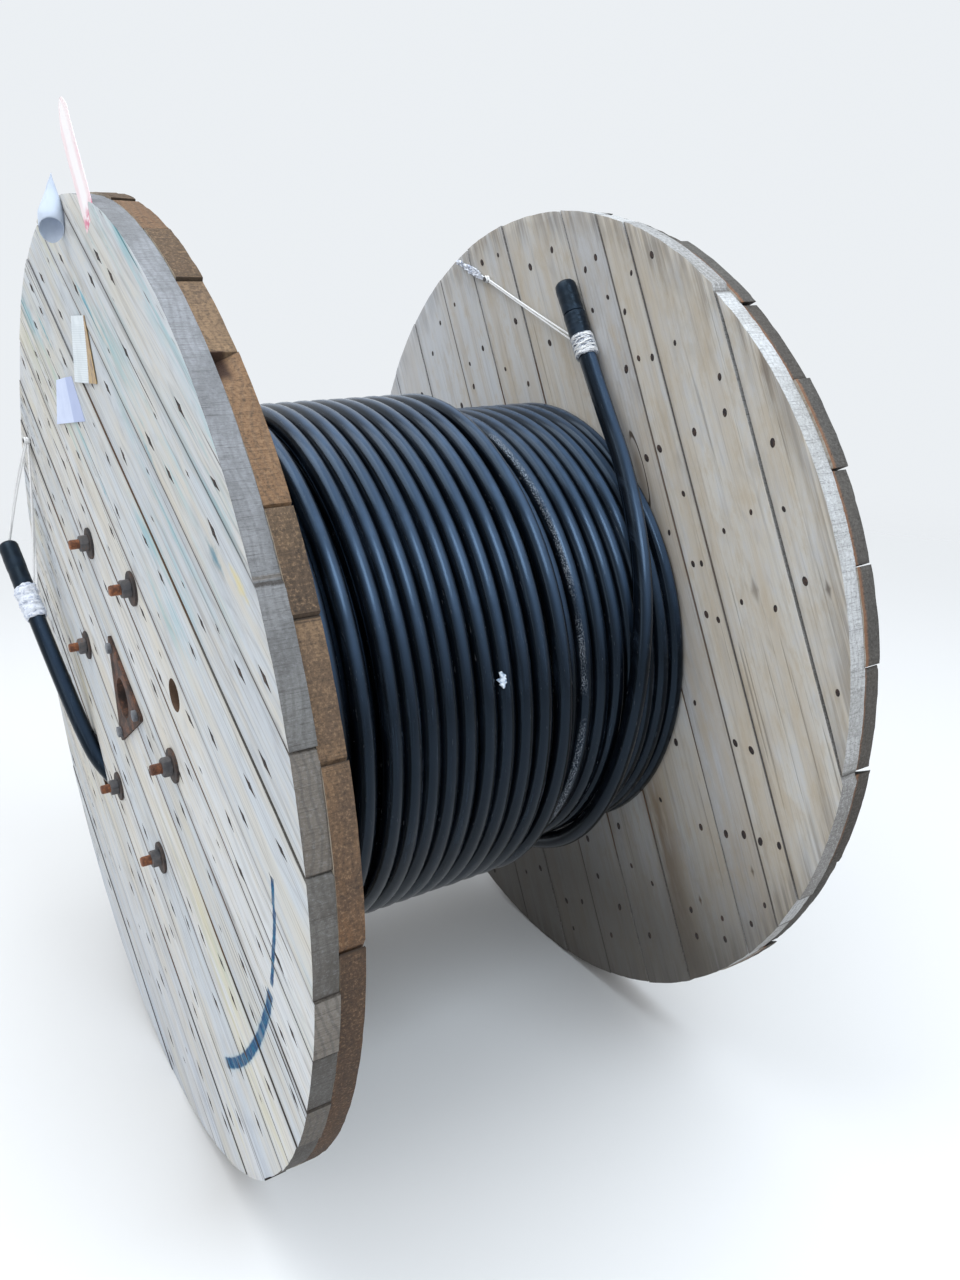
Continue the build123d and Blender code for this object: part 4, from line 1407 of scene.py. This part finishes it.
folded = sheet_on_face(
    "folded_sheet", ((250, -317), (101, -301), (31, -376), (304, -407)), 20, 12,
    fold_depth, 0.0006,
)
roll_paper, across, upward, colour = paper(
    "roll_paper", (0.53, 0.60, 0.71), (0.40, 0.46, 0.57), Roughness=0.6
)
roll_paper.feed("Base Color", colour)
roll = grid("curled_sheet", 64, 24)
mouth, top = Vector((-0.5575, 0.000, 1.722)), Vector((-0.5450, -0.006, 1.824))
axis = (top - mouth).normalized()
outward = (Vector((-1, 0, 0)) - axis * Vector((-1, 0, 0)).dot(axis)).normalized()
sideways = axis.cross(outward)
near_side = (eye - mouth).normalized()
for vertex in roll.data.vertices:
    around, rise = vertex.co.x + 0.5, vertex.co.y + 0.5
    angle = around * pi * 2.5 - 1.2
    ring = outward * cos(angle) + sideways * sin(angle)
    corner = max(0, 1 - abs(around - 0.30) / 0.34)
    cut_back = 0.19 * (1 + ring.dot(near_side)) * (1 - rise)
    rise = rise * (0.60 + 0.46 * corner) + cut_back
    radius = 0.0165 - 0.0018 * around + 0.0050 * sin(pi * min(1, rise / 0.8))
    radius *= 1 - 0.8 * max(0, rise - 0.45) / 0.6
    vertex.co = mouth.lerp(top, rise) + ring * radius
modify(roll, "SOLIDIFY", thickness=0.0006, offset=0.0)
bpy.ops.object.shade_smooth()
dress(strip, strip_paper.material, "blank_paper", "marker_strip")
dress(pouch, pouch_film.material, "clear_pouch", "document_pouch")
dress(folded, fold_paper.material, "blank_paper", "folded_paper")
dress(roll, roll_paper.material, "blank_paper", "paper_roll")

# The two cable ends
# Once their caps and wraps are made, the length that each has outside the winding is measured
# and not kept. The strings hold both ends still.
for cord, extras in ((inner_end, [near_cap, near_tape]), (outer_end, [far_cap, far_wrap])):
    line = line_of(cord)
    length_of(line)

# Floor, backdrop and light
# A plain pale floor that fades into a plain pale sky, brighter overhead, and three soft
# panels over and beside the drum, for the dull daylight of the yard.
floor_grey = (0.70, 0.70, 0.70, 1.0)
pale_floor = Finish("pale_floor", Roughness=0.9, Base_Color=floor_grey)
x, y, z = pale_floor.place()
pale_floor.feed("Alpha", (x * x + y * y).root().between(7.5, 3.0))
bpy.ops.object.select_all(action="DESELECT")
bpy.ops.mesh.primitive_circle_add(vertices=96, radius=8, fill_type="NGON", location=(0, 0, 0))
floor = bpy.context.object
floor.name = "floor"
for vertex in floor.data.vertices:
    vertex.co.z = -0.0005
floor.data.materials.append(pale_floor.material)
floor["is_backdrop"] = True
world = bpy.data.worlds.new("studio")
bpy.context.scene.world = world
world.use_nodes = True
sky = Nodes(world.node_tree)
upward = sky.parts(sky.node("ShaderNodeTexCoord", {}, {}, "Generated"))[2]
sky_light = upward.between(0.1, 0.9) * 0.63 + 0.62
seen, through, mirrored = (
    sky.node("ShaderNodeLightPath", {}, {}, ray)
    for ray in ("Is Camera Ray", "Is Transmission Ray", "Is Glossy Ray")
)
shown = seen.most(through).most(mirrored)
strength = sky.node("ShaderNodeMix", {}, {0: shown, 2: sky_light, 3: 0.90})
background = sky.tree.nodes["Background"].inputs
background["Color"].default_value = (0.93, 0.965, 1.0, 1.0)
sky.tree.links.new(strength.socket, background["Strength"])
for name, place, size, power, colour in (
    ("sky_panel", (-1.2, 0.6, 5.2), 3.2, 115, (0.93, 0.97, 1.0)),
    ("side_panel", (-4.5, -2.5, 3.0), 3.0, 45, (1.0, 0.98, 0.96)),
    ("front_panel", (0.6, -3.2, 4.4), 2.0, 130, (0.80, 0.90, 1.0)),
):
    lamp = bpy.data.lights.new(name, "AREA")
    lamp.size = size
    lamp.energy = power
    lamp.color = colour
    stand = added(name, lamp)
    stand.location = place
    aim = Vector((0, 0, drum_height)) - Vector(place)
    stand.rotation_euler = aim.to_track_quat("-Z", "Y").to_euler()
bpy.context.scene.view_settings.view_transform = "Standard"

sizes = {"cad": cad_box, "visual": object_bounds()}
sizes = {box: [list(corner) for corner in corners] for box, corners in sizes.items()}
